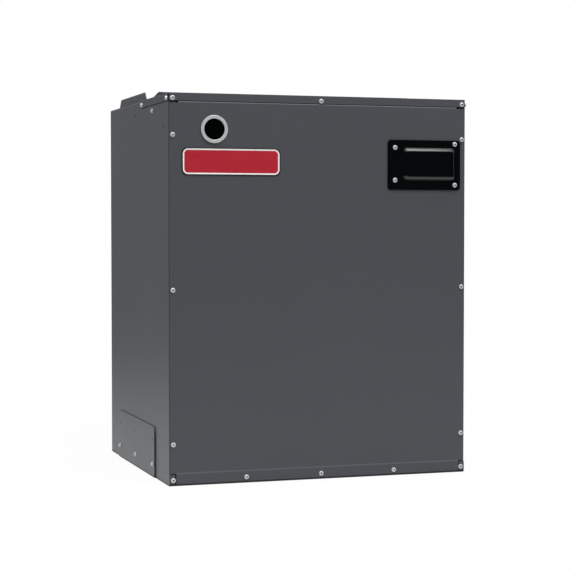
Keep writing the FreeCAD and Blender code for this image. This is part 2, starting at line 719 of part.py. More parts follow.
def add_top_cover():
    body = new_body("top_front_cover")
    section = sketch_at(body, "y", strip_front)
    bent(section, [
        (cover_side, strip_bottom), (cover_side, top), (-cover_side, top), (-cover_side, strip_bottom),
    ], d.gauge, d.bend_radius)
    pad(body, section, cover_rear - strip_front)
    plate(body, "y", strip_front, d.gauge, left, right, strip_bottom, top)
    corner_out = cover_side + OVER
    for x0, x1 in ((-corner_out, -corner_in), (corner_in, corner_out)):
        window(body, "z", strip_bottom, d.top_strip, x0, x1, strip_front - OVER, corner_back)
    flange = sketch_at(body, "y", partition_y)
    base_x = right - d.duct_inset - d.flange_end
    duct_top = top + d.duct_flange
    loop(flange, [
        (-base_x, top - d.gauge), (base_x, top - d.gauge),
        (base_x - d.duct_flange, duct_top), (-base_x + d.duct_flange, duct_top),
    ])
    pad(body, flange, d.gauge)
    pierce(body, "y", strip_front, d.gauge, strip_front_screws)
    for start in (-cover_side, cover_side - d.gauge):
        pierce(body, "x", start, d.gauge, strip_side_screws)


def add_top_rail():
    body = new_body("top_front_rail")
    half = right - d.front_flange - d.edge_gap
    under = top - d.gauge - d.seat_gap
    section = sketch_at(body, "x", -half)
    bent(section, [
        (wrap_front + d.rail_depth, under), (wrap_front, under), (wrap_front, strip_bottom),
    ], d.gauge, None)
    pad(body, section, half * 2)
    pierce(body, "y", wrap_front, d.gauge, [strip_front_screws[1]])


def add_top_brace():
    body = new_body("top_brace")
    under = top - d.gauge - d.seat_gap
    y0 = brace_y - d.brace_width / 2
    y1 = brace_y + d.brace_width / 2
    lip = under - d.brace_lip
    section = sketch_at(body, "x", inner_left)
    bent(section, [(y1, lip), (y1, under), (y0, under), (y0, lip)], d.gauge, None)
    pad(body, section, inner_right - inner_left)
    inset = d.brace_tab_inset
    tab_bottom = top - d.liner_top_drop + d.liner_gap
    for start in (inner_left, inner_right - d.gauge):
        plate(body, "x", start, d.gauge, y0 + inset, y1 - inset, tab_bottom, under - d.gauge / 2)
        pierce(body, "x", start, d.gauge, [(brace_y, brace_z)])


def add_supply_frame():
    body = new_body("supply_frame")
    ledge = top - d.gauge * 2
    duct_top = top + d.duct_flange
    start_y = cover_rear + d.edge_gap
    inset_x = right - d.duct_inset
    inset_y = back - d.duct_rear_inset
    inside_x = inset_x - d.gauge
    plan = sketch_at(body, "z", ledge)
    loop(plan, [
        (inner_left, start_y), (-inside_x, start_y), (-inside_x, inset_y - d.gauge),
        (inside_x, inset_y - d.gauge), (inside_x, start_y), (inner_right, start_y),
        (inner_right, inner_back), (inner_left, inner_back),
    ])
    pad(body, plan, d.gauge)
    skirt = top - d.frame_skirt - d.gauge
    for start in (inner_left, inner_right - d.gauge):
        plate(body, "x", start, d.gauge, start_y, inner_back, skirt, ledge + d.gauge)
    plate(body, "y", inner_back - d.gauge, d.gauge, inner_left, inner_right, skirt, ledge + d.gauge)
    for start in (-inset_x, inside_x):
        side = sketch_at(body, "x", start)
        loop(side, [
            (start_y, ledge), (inset_y, ledge),
            (inset_y - d.duct_flange, duct_top), (start_y + d.duct_flange, duct_top),
        ])
        pad(body, side, d.gauge)
    rear = sketch_at(body, "y", inset_y - d.gauge)
    base_x = inset_x - d.flange_end
    loop(rear, [
        (-base_x, ledge), (base_x, ledge),
        (base_x - d.duct_flange, duct_top), (-base_x + d.duct_flange, duct_top),
    ])
    pad(body, rear, d.gauge)


def add_liners():
    y0 = wrap_front + d.screw_shank_length + d.liner_gap
    y1 = back - d.gauge - d.liner - d.edge_gap
    low = (d.side_cover_height + d.liner_lift, deck - d.liner_gap)
    wall_end = top - d.liner_top_drop
    above_flange = deck + d.deck_flange + d.liner_gap
    for label, start in (("left_liner", left + d.gauge), ("right_liner", liner_in)):
        body = new_body(label)
        for z0, z1 in (low, (above_flange, wall_end)):
            plate(body, "x", start, d.liner, y0, y1, z0, z1)
    body = new_body("back_liner")
    half = right - d.gauge * 2 - d.liner_gap
    for z0, z1 in (low, (deck_top + d.liner_gap, wall_end)):
        plate(body, "y", back - d.gauge - d.liner, d.liner, -half, half, z0, z1)


def add_side_cover():
    body = new_body("side_access_cover")
    y0 = access_start
    y1 = access_end
    z0 = d.edge_gap
    z1 = d.side_cover_height
    corner = d.side_cover_corner
    outer = left - d.side_cover_depth
    face = sketch_at(body, "x", outer)
    loop(face, [
        (y0, z0), (y1, z0), (y1, z1 - corner), (y1 - corner, z1), (y0 + corner, z1), (y0, z1 - corner),
    ], {2: (y1 - corner, z1 - corner, True), 4: (y0 + corner, z1 - corner, True)})
    pad(body, face, d.side_cover_depth)
    recess(body, "x", outer + d.gauge, d.side_cover_depth, y0 + d.access_rim, y1 - d.access_rim,
           d.side_cover_screw_height + d.access_land, z1 - d.access_land, corner - d.access_land / 2)
    pierce(body, "x", outer, d.side_cover_depth, access_screws + access_holes)


# Scroll geometry about the wheel axis, drawn from four centres on a small square
wheel_radius = d.wheel_diameter / 2
scroll_start = wheel_radius + d.scroll_clearance
half_step = d.scroll_step / 2
housing_half = d.wheel_width / 2 + d.wheel_side_gap
housing_reach = scroll_start + d.gauge + d.housing_rim
scroll_back = half_step + scroll_start + d.scroll_step * 3
tongue_y = -half_step + (scroll_start + d.tongue_radius) * cosine(d.tongue_angle)
tongue_z = half_step + (scroll_start + d.tongue_radius) * sine(d.tongue_angle)
outlet_front = tongue_y + d.tongue_radius
flange_under = d.outlet_rise - d.seat_gap
housing_front = outlet_front - d.gauge - d.housing_rim
housing_back = half_step + housing_reach + d.scroll_step * 3
inlet_radius = wheel_radius - d.blade_depth - d.inlet_gap


def blower_body(label):
    body = new_body(label)
    place(body, y=axis_y, z=d.axis_height)
    return body


def scroll_arc_points(radius):
    """Centres of the scroll's four quarter arcs and the points where they meet."""
    step = d.scroll_step
    near = half_step
    centres = [(-near, near), (-near, -near), (near, -near), (near, near)]
    points = [
        (-near, near + radius), (-near - radius - step, -near),
        (near, -near - radius - step * 2), (near + radius + step * 3, near),
    ]
    return centres, points


def add_scroll():
    body = blower_body("scroll_wrap")
    centres, inner = scroll_arc_points(scroll_start)
    outer = scroll_arc_points(scroll_start + d.gauge)[1]
    across = cosine(d.tongue_angle)
    up = sine(d.tongue_angle)
    leave_in = (-half_step + scroll_start * across, half_step + scroll_start * up)
    outer_start = scroll_start + d.gauge
    leave_out = (-half_step + outer_start * across, half_step + outer_start * up)
    end_z = flange_under - d.gauge - d.seat_gap
    corners = [(outlet_front, end_z), (outlet_front, tongue_z), leave_in] + inner
    corners += [(scroll_back, end_z), (scroll_back + d.gauge, end_z)] + outer[::-1]
    corners += [leave_out, (outlet_front - d.gauge, tongue_z), (outlet_front - d.gauge, end_z)]
    tongue_in = 1
    tongue_out = len(corners) - 3
    arcs = {tongue_in: (tongue_y, tongue_z, False), tongue_out: (tongue_y, tongue_z, True)}
    for quarter, centre in enumerate(centres):
        arcs[tongue_in + 1 + quarter] = (*centre, True)
        arcs[tongue_out - 1 - quarter] = (*centre, False)
    section = sketch_at(body, "x", -housing_half)
    loop(section, corners, arcs)
    pad(body, section, housing_half * 2)


def add_housing_side(label, side):
    body = blower_body(label)
    centres, points = scroll_arc_points(housing_reach)
    offset = housing_front + half_step
    meet = (housing_front, half_step + root(housing_reach * housing_reach - offset * offset))
    face = -housing_half - d.gauge if side < 0 else housing_half
    sheet_edge = sketch_at(body, "x", face)
    corners = [(housing_front, flange_under), meet] + points + [(housing_back, flange_under)]
    loop(sheet_edge, corners, {1 + quarter: (*centre, True) for quarter, centre in enumerate(centres)})
    pad(body, sheet_edge, d.gauge)
    out = housing_half + d.gauge + d.housing_flange
    x0, x1 = (-out, -housing_half) if side < 0 else (housing_half, out)
    plate(body, "z", flange_under - d.gauge, d.gauge, x0, x1, housing_front, housing_back)
    mouth = inlet_radius + d.inlet_roll
    drill(body, "x", face, d.gauge, ZERO, ZERO, mouth + d.gauge)
    outer_face = side * (housing_half + d.gauge)
    throat = side * (d.wheel_width / 2 + d.throat_gap)
    venturi = sketch_at(body, "y", 0)
    loop(venturi, [
        (outer_face, mouth), (outer_face, mouth + d.gauge * 2),
        (side * housing_half, mouth + d.gauge * 2),
        (throat, inlet_radius + d.gauge), (throat, inlet_radius),
    ])
    turn(body, venturi)
    if side < 0:
        pierce(body, "x", face, d.gauge, mount_points())


def add_rails():
    body = blower_body("blower_rails")
    web = housing_half + d.gauge + d.housing_flange + d.slide_gap
    lip_z = flange_under - d.gauge - d.seat_gap
    start = housing_front - d.slide_lead
    for side in (-1, 1):
        section = sketch_at(body, "y", start)
        path = [
            (side * (web + d.gauge + d.slide_flange), d.outlet_rise), (side * web, d.outlet_rise),
            (side * web, lip_z), (side * (web - d.slide_lip), lip_z),
        ]
        bent(section, path if side > 0 else path[::-1], d.gauge, None)
        pad(body, section, housing_back - start + d.slide_tail)


# Motor stations along the wheel axis, measured from the middle of the wheel
MOUNT_ANGLES = (90, 210, 330)
shaft_radius = d.shaft_diameter / 2
shaft_seat = shaft_radius + d.running_fit
motor_radius = d.motor_diameter / 2
shell_out = -housing_half - d.motor_out
shell_in = shell_out + d.motor_length
bell_in = shell_in + d.bell_length
nose_in = bell_in + d.nose_length
module_out = shell_out - d.motor_module_length
band_x = shell_out + d.band_setback
band_inner = motor_radius + d.seat_gap
band_outer = band_inner + d.band_thickness
mount_radius = inlet_radius + d.arm_rise
foot_x = -housing_half - d.gauge - d.grommet_length


def mount_points():
    angles = [math.radians(angle) for angle in MOUNT_ANGLES]
    return [(mount_radius * math.cos(angle), mount_radius * math.sin(angle)) for angle in angles]


def add_motor():
    shell = blower_body("motor_shell")
    shaft_stop = shell_in - d.shaft_depth
    drum = sketch_at(shell, "y", 0)
    loop(drum, [
        (shell_out, ZERO), (shaft_stop, ZERO), (shaft_stop, shaft_seat), (shell_in, shaft_seat),
        (shell_in, motor_radius), (shell_out, motor_radius),
    ])
    turn(shell, drum)
    bell = blower_body("motor_end_bell")
    profile = sketch_at(bell, "y", 0)
    loop(profile, [
        (shell_in, shaft_seat), (shell_in, d.bell_radius), (bell_in, d.bell_radius),
        (bell_in, d.nose_radius), (nose_in, d.nose_radius), (nose_in, shaft_seat),
    ])
    turn(bell, profile)
    module = blower_body("motor_control_module")
    cap = sketch_at(module, "x", module_out)
    circle(cap, ZERO, ZERO, d.module_radius)
    pad(module, cap, d.motor_module_length)
    socket_y = d.plug_width / 2
    recess(module, "x", module_out, d.plug_depth, -socket_y, socket_y,
           -d.plug_drop - d.plug_height / 2, -d.plug_drop + d.plug_height / 2)


def add_shaft():
    body = blower_body("motor_shaft")
    start = shell_in - d.shaft_depth + d.seat_gap
    end = d.hub_length + d.shaft_end
    rod = sketch_at(body, "x", start)
    circle(rod, ZERO, ZERO, shaft_radius)
    pad(body, rod, end - start)
    flat_start = nose_in + d.flat_start
    recess(body, "x", flat_start, end + OVER - flat_start, -shaft_radius, shaft_radius,
           shaft_radius - d.shaft_flat, shaft_radius + OVER)


def add_belly_band():
    band = blower_body("belly_band")
    profile = sketch_at(band, "x", band_x)
    circle(profile, ZERO, ZERO, band_outer)
    circle(profile, ZERO, ZERO, band_inner)
    pad(band, profile, d.band_width)
    half = d.band_slot / 2
    ear_edge = half + d.band_thickness
    ear_root = -band_inner - d.band_thickness / 4
    for y0, y1 in ((-ear_edge, -half), (half, ear_edge)):
        plate(band, "x", band_x, d.band_width, y0, y1, -band_outer - d.band_ear, ear_root)
    window(band, "x", band_x, d.band_width, -half, half, -band_outer - OVER, d.band_thickness - band_inner)
    bolt_at = (band_x + d.band_width / 2, -band_outer - d.band_ear / 2)
    pierce(band, "y", -ear_edge, ear_edge * 2, [bolt_at])
    bolt = blower_body("belly_band_bolt")
    head = -ear_edge - d.band_bolt_head
    rod = sketch_at(bolt, "y", head)
    polygon(rod, *bolt_at, d.screw_shank_radius, HEX)
    pad(bolt, rod, (ear_edge + d.band_bolt_head) * 2 + d.bolt_tip)
    for start in (head, ear_edge):
        flats = sketch_at(bolt, "y", start)
        polygon(flats, *bolt_at, d.screw_head_radius, HEX)
        pad(bolt, flats, d.band_bolt_head)


def add_mount_arms():
    arms = blower_body("mount_arms")
    leg_x = band_x + d.arm_setback
    tab_top = band_outer + d.seat_gap + d.arm_thickness
    heel = mount_radius - d.arm_heel
    section = sketch_at(arms, "y", -d.arm_width / 2)
    bent(section, [
        (leg_x + d.arm_tab, tab_top), (leg_x, tab_top), (leg_x, heel), (foot_x, heel),
        (foot_x, mount_radius + d.arm_width / 2),
    ], d.arm_thickness, None)
    arm = pad(arms, section, d.arm_width)
    around(arms, arm, len(MOUNT_ANGLES))
    pierce(arms, "x", foot_x - d.arm_thickness, d.arm_thickness, mount_points())
    grommets = blower_body("mount_grommets")
    rubber = sketch_at(grommets, "x", foot_x)
    for x, y in mount_points():
        polygon(rubber, x, y, d.grommet_radius, GROMMET_SIDES)
        polygon(rubber, x, y, hole_corner, HEX)
    pad(grommets, rubber, d.grommet_length)
    bolts = blower_body("mount_bolts")
    length = d.arm_thickness + d.grommet_length + d.gauge + d.bolt_tip
    fasten(bolts, "x", -1, foot_x - d.arm_thickness, mount_points(), length)


def around(body, feature, count):
    """Repeats a feature evenly round the wheel axis."""
    hub = sketch_at(body, "x", 0)
    pattern = body.newObject("PartDesign::PolarPattern", f"{body.Name}_pattern")
    pattern.Originals = [feature]
    pattern.Axis = (hub, ["N_Axis"])
    pattern.Angle = 360
    bind(pattern, "Occurrences", count)
    body.Tip = pattern


# Wheel, with each blade's curve followed by a few flats
BLADE_FLATS = 3
disc_face = d.wheel_disc_thickness / 2


def blade_profile(middle):
    """A curved blade as short flats along an arc, hollow side first."""
    half_chord = d.blade_depth / 2
    hollow_radius = root(half_chord * half_chord + d.blade_sweep * d.blade_sweep)
    crown_radius = hollow_radius + d.blade_thickness
    half_angle = arctangent(half_chord / d.blade_sweep)
    bends = [half_angle * (2 * k / BLADE_FLATS - 1) for k in range(BLADE_FLATS + 1)]
    corners = []
    for radius, angles in ((hollow_radius, bends), (crown_radius, bends[::-1])):
        corners += [(middle + radius * sine(a), d.blade_sweep - radius * cosine(a)) for a in angles]
    return corners


def add_blade_strip(label, side):
    body = blower_body(label)
    middle = wheel_radius - d.rim_land - d.blade_depth / 2
    rim_in = middle - d.blade_depth / 2 - d.rim_land
    ring_x = -d.wheel_width / 2 if side < 0 else d.wheel_width / 2 - d.wheel_ring
    ring = sketch_at(body, "x", ring_x)
    circle(ring, ZERO, ZERO, wheel_radius)
    circle(ring, ZERO, ZERO, rim_in)
    pad(body, ring, d.wheel_ring)
    blade = sketch_at(body, "x", ring_x + d.wheel_ring / 2 if side < 0 else disc_face)
    loop(blade, blade_profile(middle))
    row = pad(body, blade, d.wheel_width / 2 - disc_face - d.wheel_ring / 2)
    around(body, row, d.blade_count)


def add_wheel_disc():
    body = blower_body("wheel_disc")
    face = sketch_at(body, "x", -disc_face)
    circle(face, ZERO, ZERO, wheel_radius)
    circle(face, ZERO, ZERO, shaft_radius + d.disc_clear)
    pad(body, face, d.wheel_disc_thickness)


def add_hub():
    hub = blower_body("wheel_hub")
    flange_end = disc_face + d.hub_flange
    profile = sketch_at(hub, "y", 0)
    loop(profile, [
        (disc_face, shaft_seat), (disc_face, d.hub_flange_radius), (flange_end, d.hub_flange_radius),
        (flange_end, d.hub_radius), (d.hub_length, d.hub_radius), (d.hub_length, shaft_seat),
    ])
    turn(hub, profile)
    drill(hub, "z", ZERO, d.hub_radius, d.set_screw_at, ZERO, d.set_screw_radius + d.running_fit * 2)
    grub = blower_body("hub_set_screw")
    tip = shaft_radius - d.shaft_flat + d.running_fit
    stem = sketch_at(grub, "z", tip)
    circle(stem, d.set_screw_at, ZERO, d.set_screw_radius)
    pad(grub, stem, d.hub_radius + d.set_screw_proud - tip)


# Control board position, tied to the sight port so that its light shows through the glass
SOCKETS = 2
RELAYS = 2
WELLS = 4
port_x = left + d.port_from_left
port_z = top - d.port_drop
board_x0 = port_x - d.board_left
board_x1 = board_x0 + d.board_width
board_z1 = port_z + d.board_above
board_z0 = board_z1 - d.board_height
board_back = partition_y - d.standoff_length
board_front = board_back - d.board_thickness
core_x0 = board_x1 + d.core_gap
core_x1 = core_x0 + d.core_width
core_z0 = deck + d.core_lift
core_z1 = core_z0 + d.core_height
board_inset = d.board_hole_inset
board_holes = [
    (x, z) for x in (board_x0 + board_inset, board_x1 - board_inset)
    for z in (board_z0 + board_inset, board_z1 - board_inset)
]


def transformer_screws():
    z = core_z0 + d.core_tab_height / 2
    return [(core_x0 - d.core_screw_out, z), (core_x1 + d.core_screw_out, z)]


def add_control_board():
    board = new_body("control_board")
    plate(board, "y", board_front, d.board_thickness, board_x0, board_x1, board_z0, board_z1)
    pierce(board, "y", board_front, d.board_thickness, board_holes)
    standoffs = new_body("board_standoffs")
    rings = sketch_at(standoffs, "y", board_back)
    for x, z in board_holes:
        polygon(rings, x, z, d.standoff_radius, HEX)
        polygon(rings, x, z, hole_corner, HEX)
    pad(standoffs, rings, d.standoff_length)


def add_board_relays():
    body = new_body("board_relays")
    z0 = board_z0 + d.relay_lift
    for index in range(RELAYS):
        x1 = board_x1 - d.relay_edge - d.relay_pitch * index
        plate(body, "y", board_front - d.relay_depth, d.relay_depth, x1 - d.relay_width, x1,
              z0, z0 + d.relay_height)


def add_board_terminals():
    body = new_body("board_terminals")
    face = board_front - d.terminal_depth
    x0 = board_x0 + d.terminal_edge
    z0 = board_z0 + d.board_edge
    plate(body, "y", face, d.terminal_depth, x0, x0 + d.terminal_width, z0, z0 + d.terminal_height)
    pitch = d.terminal_width / WELLS
    middle = z0 + d.terminal_height / 2
    for index in range(WELLS):
        x = x0 + pitch * (index + 0.5)
        recess(body, "y", face, d.well_depth, x - d.well_width / 2, x + d.well_width / 2,
               middle - d.well_height / 2, middle + d.well_height / 2)


def add_board_connectors():
    body = new_body("board_connectors")
    face = board_front - d.socket_depth
    wall = d.socket_wall
    x1 = board_x1 - d.socket_edge
    x0 = x1 - d.socket_width
    for index in range(SOCKETS):
        z1 = board_z1 - d.socket_edge - d.socket_pitch * index
        z0 = z1 - d.socket_height
        plate(body, "y", face, d.socket_depth, x0, x1, z0, z1)
        recess(body, "y", face, d.socket_depth - wall, x0 + wall, x1 - wall, z0 + wall, z1 - wall)


def add_board_light_and_fuse():
    light = new_body("board_led")
    bulb = sketch_at(light, "y", board_front - d.led_length)
    circle(bulb, port_x, port_z, d.led_radius)
    pad(light, bulb, d.led_length)
    fuse = new_body("board_fuse")
    x0 = board_x0 + d.fuse_edge
    z1 = board_z1 - d.socket_edge
    plate(fuse, "y", board_front - d.fuse_depth, d.fuse_depth, x0, x0 + d.fuse_width,
          z1 - d.fuse_height, z1)


def add_transformer():
    core = new_body("transformer_core")
    y0 = partition_y - d.core_standoff - d.core_depth
    limb = d.core_width / 6
    tab_top = core_z0 + d.core_tab_height
    plate(core, "y", y0, d.core_depth, core_x0, core_x1, core_z0, core_z1)
    for x0 in (core_x0 + limb, core_x1 - limb * 2):
        window(core, "y", y0, d.core_depth, x0, x0 + limb, core_z0 + limb, core_z1 - limb)
    plate(core, "y", y0 + d.core_depth / 2, partition_y - y0 - d.core_depth / 2, core_x0, core_x1,
          core_z0, core_z0 + limb)
    plate(core, "y", partition_y - d.core_tab, d.core_tab, core_x0 - d.core_tab_reach,
          core_x1 + d.core_tab_reach, core_z0, tab_top)
    pierce(core, "y", partition_y - d.core_tab, d.core_tab, transformer_screws())
    coil = new_body("transformer_coil")
    wound = sketch_at(coil, "z", core_z0 + limb + d.coil_gap)
    middle = (core_x0 + core_x1) / 2
    outer = limb * 2 - d.coil_gap
    inner = limb + d.coil_gap
    core_rear = y0 + d.core_depth
    rounded(wound, middle - outer, middle + outer, y0 - d.coil_front, core_rear + d.coil_back,
            d.corner_radius)
    rectangle(wound, middle - inner, middle + inner, y0 - d.coil_gap, core_rear + d.coil_gap)
    pad(coil, wound, d.core_height - limb * 2 - d.coil_gap * 2)


def breaker_edges():
    x1 = right - d.breaker_from_right
    z1 = top - d.breaker_drop
    return x1 - d.breaker_width, x1, z1 - d.breaker_height, z1


def boss_edges():
    x0, x1, z0, z1 = breaker_edges()
    return x0 + d.boss_left, x1 - d.boss_right, z0 + d.boss_below, z1 - d.boss_above


def breaker_screws():
    x0, x1, z0, z1 = breaker_edges()
    return [
        (x0 + d.cover_screw_left, z0 + d.cover_screw_low_left),
        (x0 + d.cover_screw_left, z1 - d.cover_screw_high_left),
        (x1 - d.cover_screw_right, z0 + d.cover_screw_low_right),
        (x1 - d.cover_screw_right, z1 - d.cover_screw_high_right),
    ]


def add_front_panel():
    body = new_body("front_panel")
    half = right - d.panel_margin
    plate(body, "y", front, d.gauge, -half, half, panel_bottom, panel_top - d.panel_corner_drop)
    flange_half = right - d.front_flange - d.panel_relief
    section = sketch_at(body, "x", -flange_half)
    bent(section, [
        (front + d.panel_top_flange, panel_top), (front, panel_top), (front, panel_bottom),
    ], d.gauge, d.bend_radius)
    pad(body, section, flange_half * 2)
    band = sketch_at(body, "x", -band_half)
    loop(band, [
        (front - d.gauge, d.band_lift), (front, d.band_lift),
        (front, band_top + d.band_slope), (front - d.gauge, band_top),
    ])
    pad(body, band, band_half * 2)
    pierce(body, "y", front, d.gauge, panel_side_screws + breaker_screws())
    pierce(body, "y", front - d.gauge, d.gauge, band_screws)
    drill(body, "y", front, d.gauge, port_x, port_z, d.port_glass_radius + d.port_land)
    x0, x1, z0, z1 = boss_edges()
    lap = d.boss_lap
    window(body, "y", front, d.gauge, x0 + lap, x1 - lap, z0 + lap, z1 - lap)


def add_panel_liner():
    body = new_body("panel_liner")
    edge = right - d.front_flange - d.gauge - d.liner_gap
    start = front + d.gauge
    plate(body, "y", start, d.liner, -edge, edge, panel_bottom + d.liner_inset, panel_top - d.liner_inset)
    drill(body, "y", start, d.liner, port_x, port_z, d.port_radius + d.port_clear)
    x0, x1, z0, z1 = boss_edges()
    clear = d.breaker_clear
    window(body, "y", start, d.liner, x0 - clear, edge + OVER, z0 - clear, z1 + clear)


def add_breaker_cover():
    body = new_body("breaker_cover")
    wall = d.breaker_thickness
    rise = d.boss_rise
    face = front - wall
    plate(body, "y", face, wall, *breaker_edges(), d.breaker_corner)
    x0, x1, z0, z1 = boss_edges()
    crown = sketch_at(body, "y", face - rise)
    rounded(crown, x0 + rise, x1 - rise, z0 + rise, z1 - rise, d.boss_corner)
    pad(body, crown, rise + wall / 4, d.boss_slope)
    inset = rise + wall
    recess(body, "y", face - rise + wall, rise + wall, x0 + inset, x1 - inset, z0 + inset, z1 - inset,
           d.hollow_corner)
    pierce(body, "y", face, wall, breaker_screws())


def add_sight_port():
    bezel = new_body("sight_bezel")
    ring = sketch_at(bezel, "y", front - d.port_proud)
    circle(ring, port_x, port_z, d.port_radius)
    circle(ring, port_x, port_z, d.port_glass_radius)
    pad(bezel, ring, d.port_proud)
    lens = new_body("sight_lens")
    glass = sketch_at(lens, "y", front - d.port_proud + d.lens_setback)
    circle(glass, port_x, port_z, d.port_glass_radius - d.bond_gap)
    pad(lens, glass, d.lens_thickness)


def add_nameplate():
    x0 = left + d.plate_from_left
    x1 = x0 + d.plate_width
    z1 = top - d.plate_drop
    z0 = z1 - d.plate_height
    rim = d.plate_rim
    border = new_body("nameplate_rim")
    ring = sketch_at(border, "y", front - d.plate_thickness)
    rounded(ring, x0, x1, z0, z1, d.plate_corner)
    rounded(ring, x0 + rim, x1 - rim, z0 + rim, z1 - rim, d.plate_corner - rim)
    pad(border, ring, d.plate_thickness)
    field = new_body("nameplate_face")
    inset = rim + d.bond_gap
    depth = d.plate_thickness - d.plate_face_set
    plate(field, "y", front - depth, depth, x0 + inset, x1 - inset, z0 + inset, z1 - inset,
          d.plate_corner - inset)


def add_screws():
    length = d.screw_shank_length
    panel = new_body("panel_screws")
    fasten(panel, "y", -1, front, panel_side_screws, length)
    fasten(panel, "y", -1, front - d.gauge, band_screws, length)
    cover = new_body("top_cover_screws")
    fasten(cover, "y", -1, strip_front, strip_front_screws, length)
    fasten(cover, "x", -1, -cover_side, strip_side_screws, length)
    fasten(cover, "x", 1, cover_side, strip_side_screws, length)
    fasten(new_body("base_corner_screws"), "y", -1, strip_front, base_corner_screws, length)
    brace = new_body("brace_screws")
    fasten(brace, "x", -1, left, [(brace_y, brace_z)], length)
    fasten(brace, "x", 1, right, [(brace_y, brace_z)], length)
    fasten(new_body("side_cover_screws"), "x", -1, left - d.side_cover_depth, access_screws, length)
    fasten(new_body("breaker_cover_screws"), "y", -1, front - d.breaker_thickness, breaker_screws(), length)
    inner = new_body("inner_screws")
    fasten(inner, "y", -1, partition_y - d.gauge, heater_screws(), length)
    fasten(inner, "y", -1, partition_y - d.core_tab, transformer_screws(), length)
    fasten(inner, "y", -1, board_front, board_holes, length)


add_wrapper()
add_base_pan()
add_deck()
add_partition()
add_heater_blank_plate()
add_top_cover()
add_top_rail()
add_top_brace()
add_supply_frame()
add_liners()
add_side_cover()
add_scroll()
add_housing_side("housing_side_left", -1)
add_housing_side("housing_side_right", 1)
add_rails()
add_motor()
add_shaft()
add_belly_band()
add_mount_arms()
add_blade_strip("blade_strip_left", -1)
add_blade_strip("blade_strip_right", 1)
add_wheel_disc()
add_hub()
add_control_board()
add_board_relays()
add_board_terminals()
add_board_connectors()
add_board_light_and_fuse()
add_transformer()
add_front_panel()
add_panel_liner()
add_breaker_cover()
add_sight_port()
add_nameplate()
add_screws()
doc.recompute()

for item in doc.Objects:
    if "Invalid" in item.State or "Error" in item.State:
        raise RuntimeError(f"{item.Label} did not build")

os.makedirs("parts", exist_ok=True)
for label, thing in nodes.items():
    shape = thing.Shape
    if shape.isNull() or not shape.isValid():
        raise RuntimeError(f"{label} has no valid shape")
    shape.exportStep(f"parts/{label}.step")
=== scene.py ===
"""Modular blower in a plain studio: finishes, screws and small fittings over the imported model."""

import math

import bmesh
import bpy
from mathutils import Matrix, Vector


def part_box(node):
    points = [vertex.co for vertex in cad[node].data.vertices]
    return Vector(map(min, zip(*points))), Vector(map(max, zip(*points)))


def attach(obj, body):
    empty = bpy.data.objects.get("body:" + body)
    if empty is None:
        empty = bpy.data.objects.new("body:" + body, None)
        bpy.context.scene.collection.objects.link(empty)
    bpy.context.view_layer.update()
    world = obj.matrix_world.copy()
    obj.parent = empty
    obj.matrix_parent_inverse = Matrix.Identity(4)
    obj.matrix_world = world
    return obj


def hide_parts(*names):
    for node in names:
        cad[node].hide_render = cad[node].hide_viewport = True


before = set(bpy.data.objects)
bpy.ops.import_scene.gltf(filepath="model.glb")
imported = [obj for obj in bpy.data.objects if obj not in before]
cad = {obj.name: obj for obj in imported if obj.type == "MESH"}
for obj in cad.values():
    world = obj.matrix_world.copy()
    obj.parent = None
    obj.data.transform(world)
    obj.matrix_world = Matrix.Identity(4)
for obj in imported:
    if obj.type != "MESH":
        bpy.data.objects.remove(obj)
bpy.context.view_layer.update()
MM = 0.001

# Directions
LEFT = (-1, 0, 0)
RIGHT = (1, 0, 0)
FORWARD = (0, -1, 0)
BACK = (0, 1, 0)
UP = (0, 0, 1)


def linear(red, green, blue):
    """A colour given as display values from 0 to 255, taken off the sRGB curve."""
    shades = [value / 255 for value in (red, green, blue)]
    return tuple(s / 12.92 if s <= 0.04045 else ((s + 0.055) / 1.055) ** 2.4 for s in shades) + (1.0,)


def shaded(colour, factor):
    """A darker or lighter tone of a colour."""
    return tuple(min(channel * factor, 1.0) for channel in colour[:3]) + (1.0,)


class Nodes:
    """A node tree, built up from small steps."""

    def __init__(self, tree):
        self.tree = tree

    def add(self, kind, **settings):
        node = self.tree.nodes.new(kind)
        for name, value in settings.items():
            setattr(node, name, value)
        return node

    def put(self, socket, value):
        """Links an output to an input, or sets the input to a plain value."""
        if isinstance(value, bpy.types.NodeSocket):
            self.tree.links.new(value, socket)
        else:
            socket.default_value = value

    def feed(self, node, **inputs):
        """Sets or links a node's inputs; underscores in a name stand for spaces."""
        for name, value in inputs.items():
            self.put(node.inputs[name.replace("_", " ")], value)
        return node

    def math(self, operation, first, second=0.0, third=0.0):
        node = self.add("ShaderNodeMath", operation=operation)
        for socket, value in zip(node.inputs, (first, second, third)):
            self.put(socket, value)
        return node.outputs["Value"]

    def span(self, value, low, high, to_low=0.0, to_high=1.0):
        """Carries a value from one range to another, held at both ends."""
        node = self.add("ShaderNodeMapRange")
        self.feed(node, Value=value, From_Min=low, From_Max=high, To_Min=to_low, To_Max=to_high)
        return node.outputs["Result"]

    def split(self, vector):
        return self.feed(self.add("ShaderNodeSeparateXYZ"), Vector=vector).outputs


# Where most values of a noise pattern lie, and how detailed a fine even grain is
NOISE_LOW = 0.3
NOISE_HIGH = 0.7
GRAIN_DETAIL = 2.0

# Colour sockets of a mix node, which has others for numbers and vectors
MIX_FIRST = 6
MIX_SECOND = 7
MIX_RESULT = 2


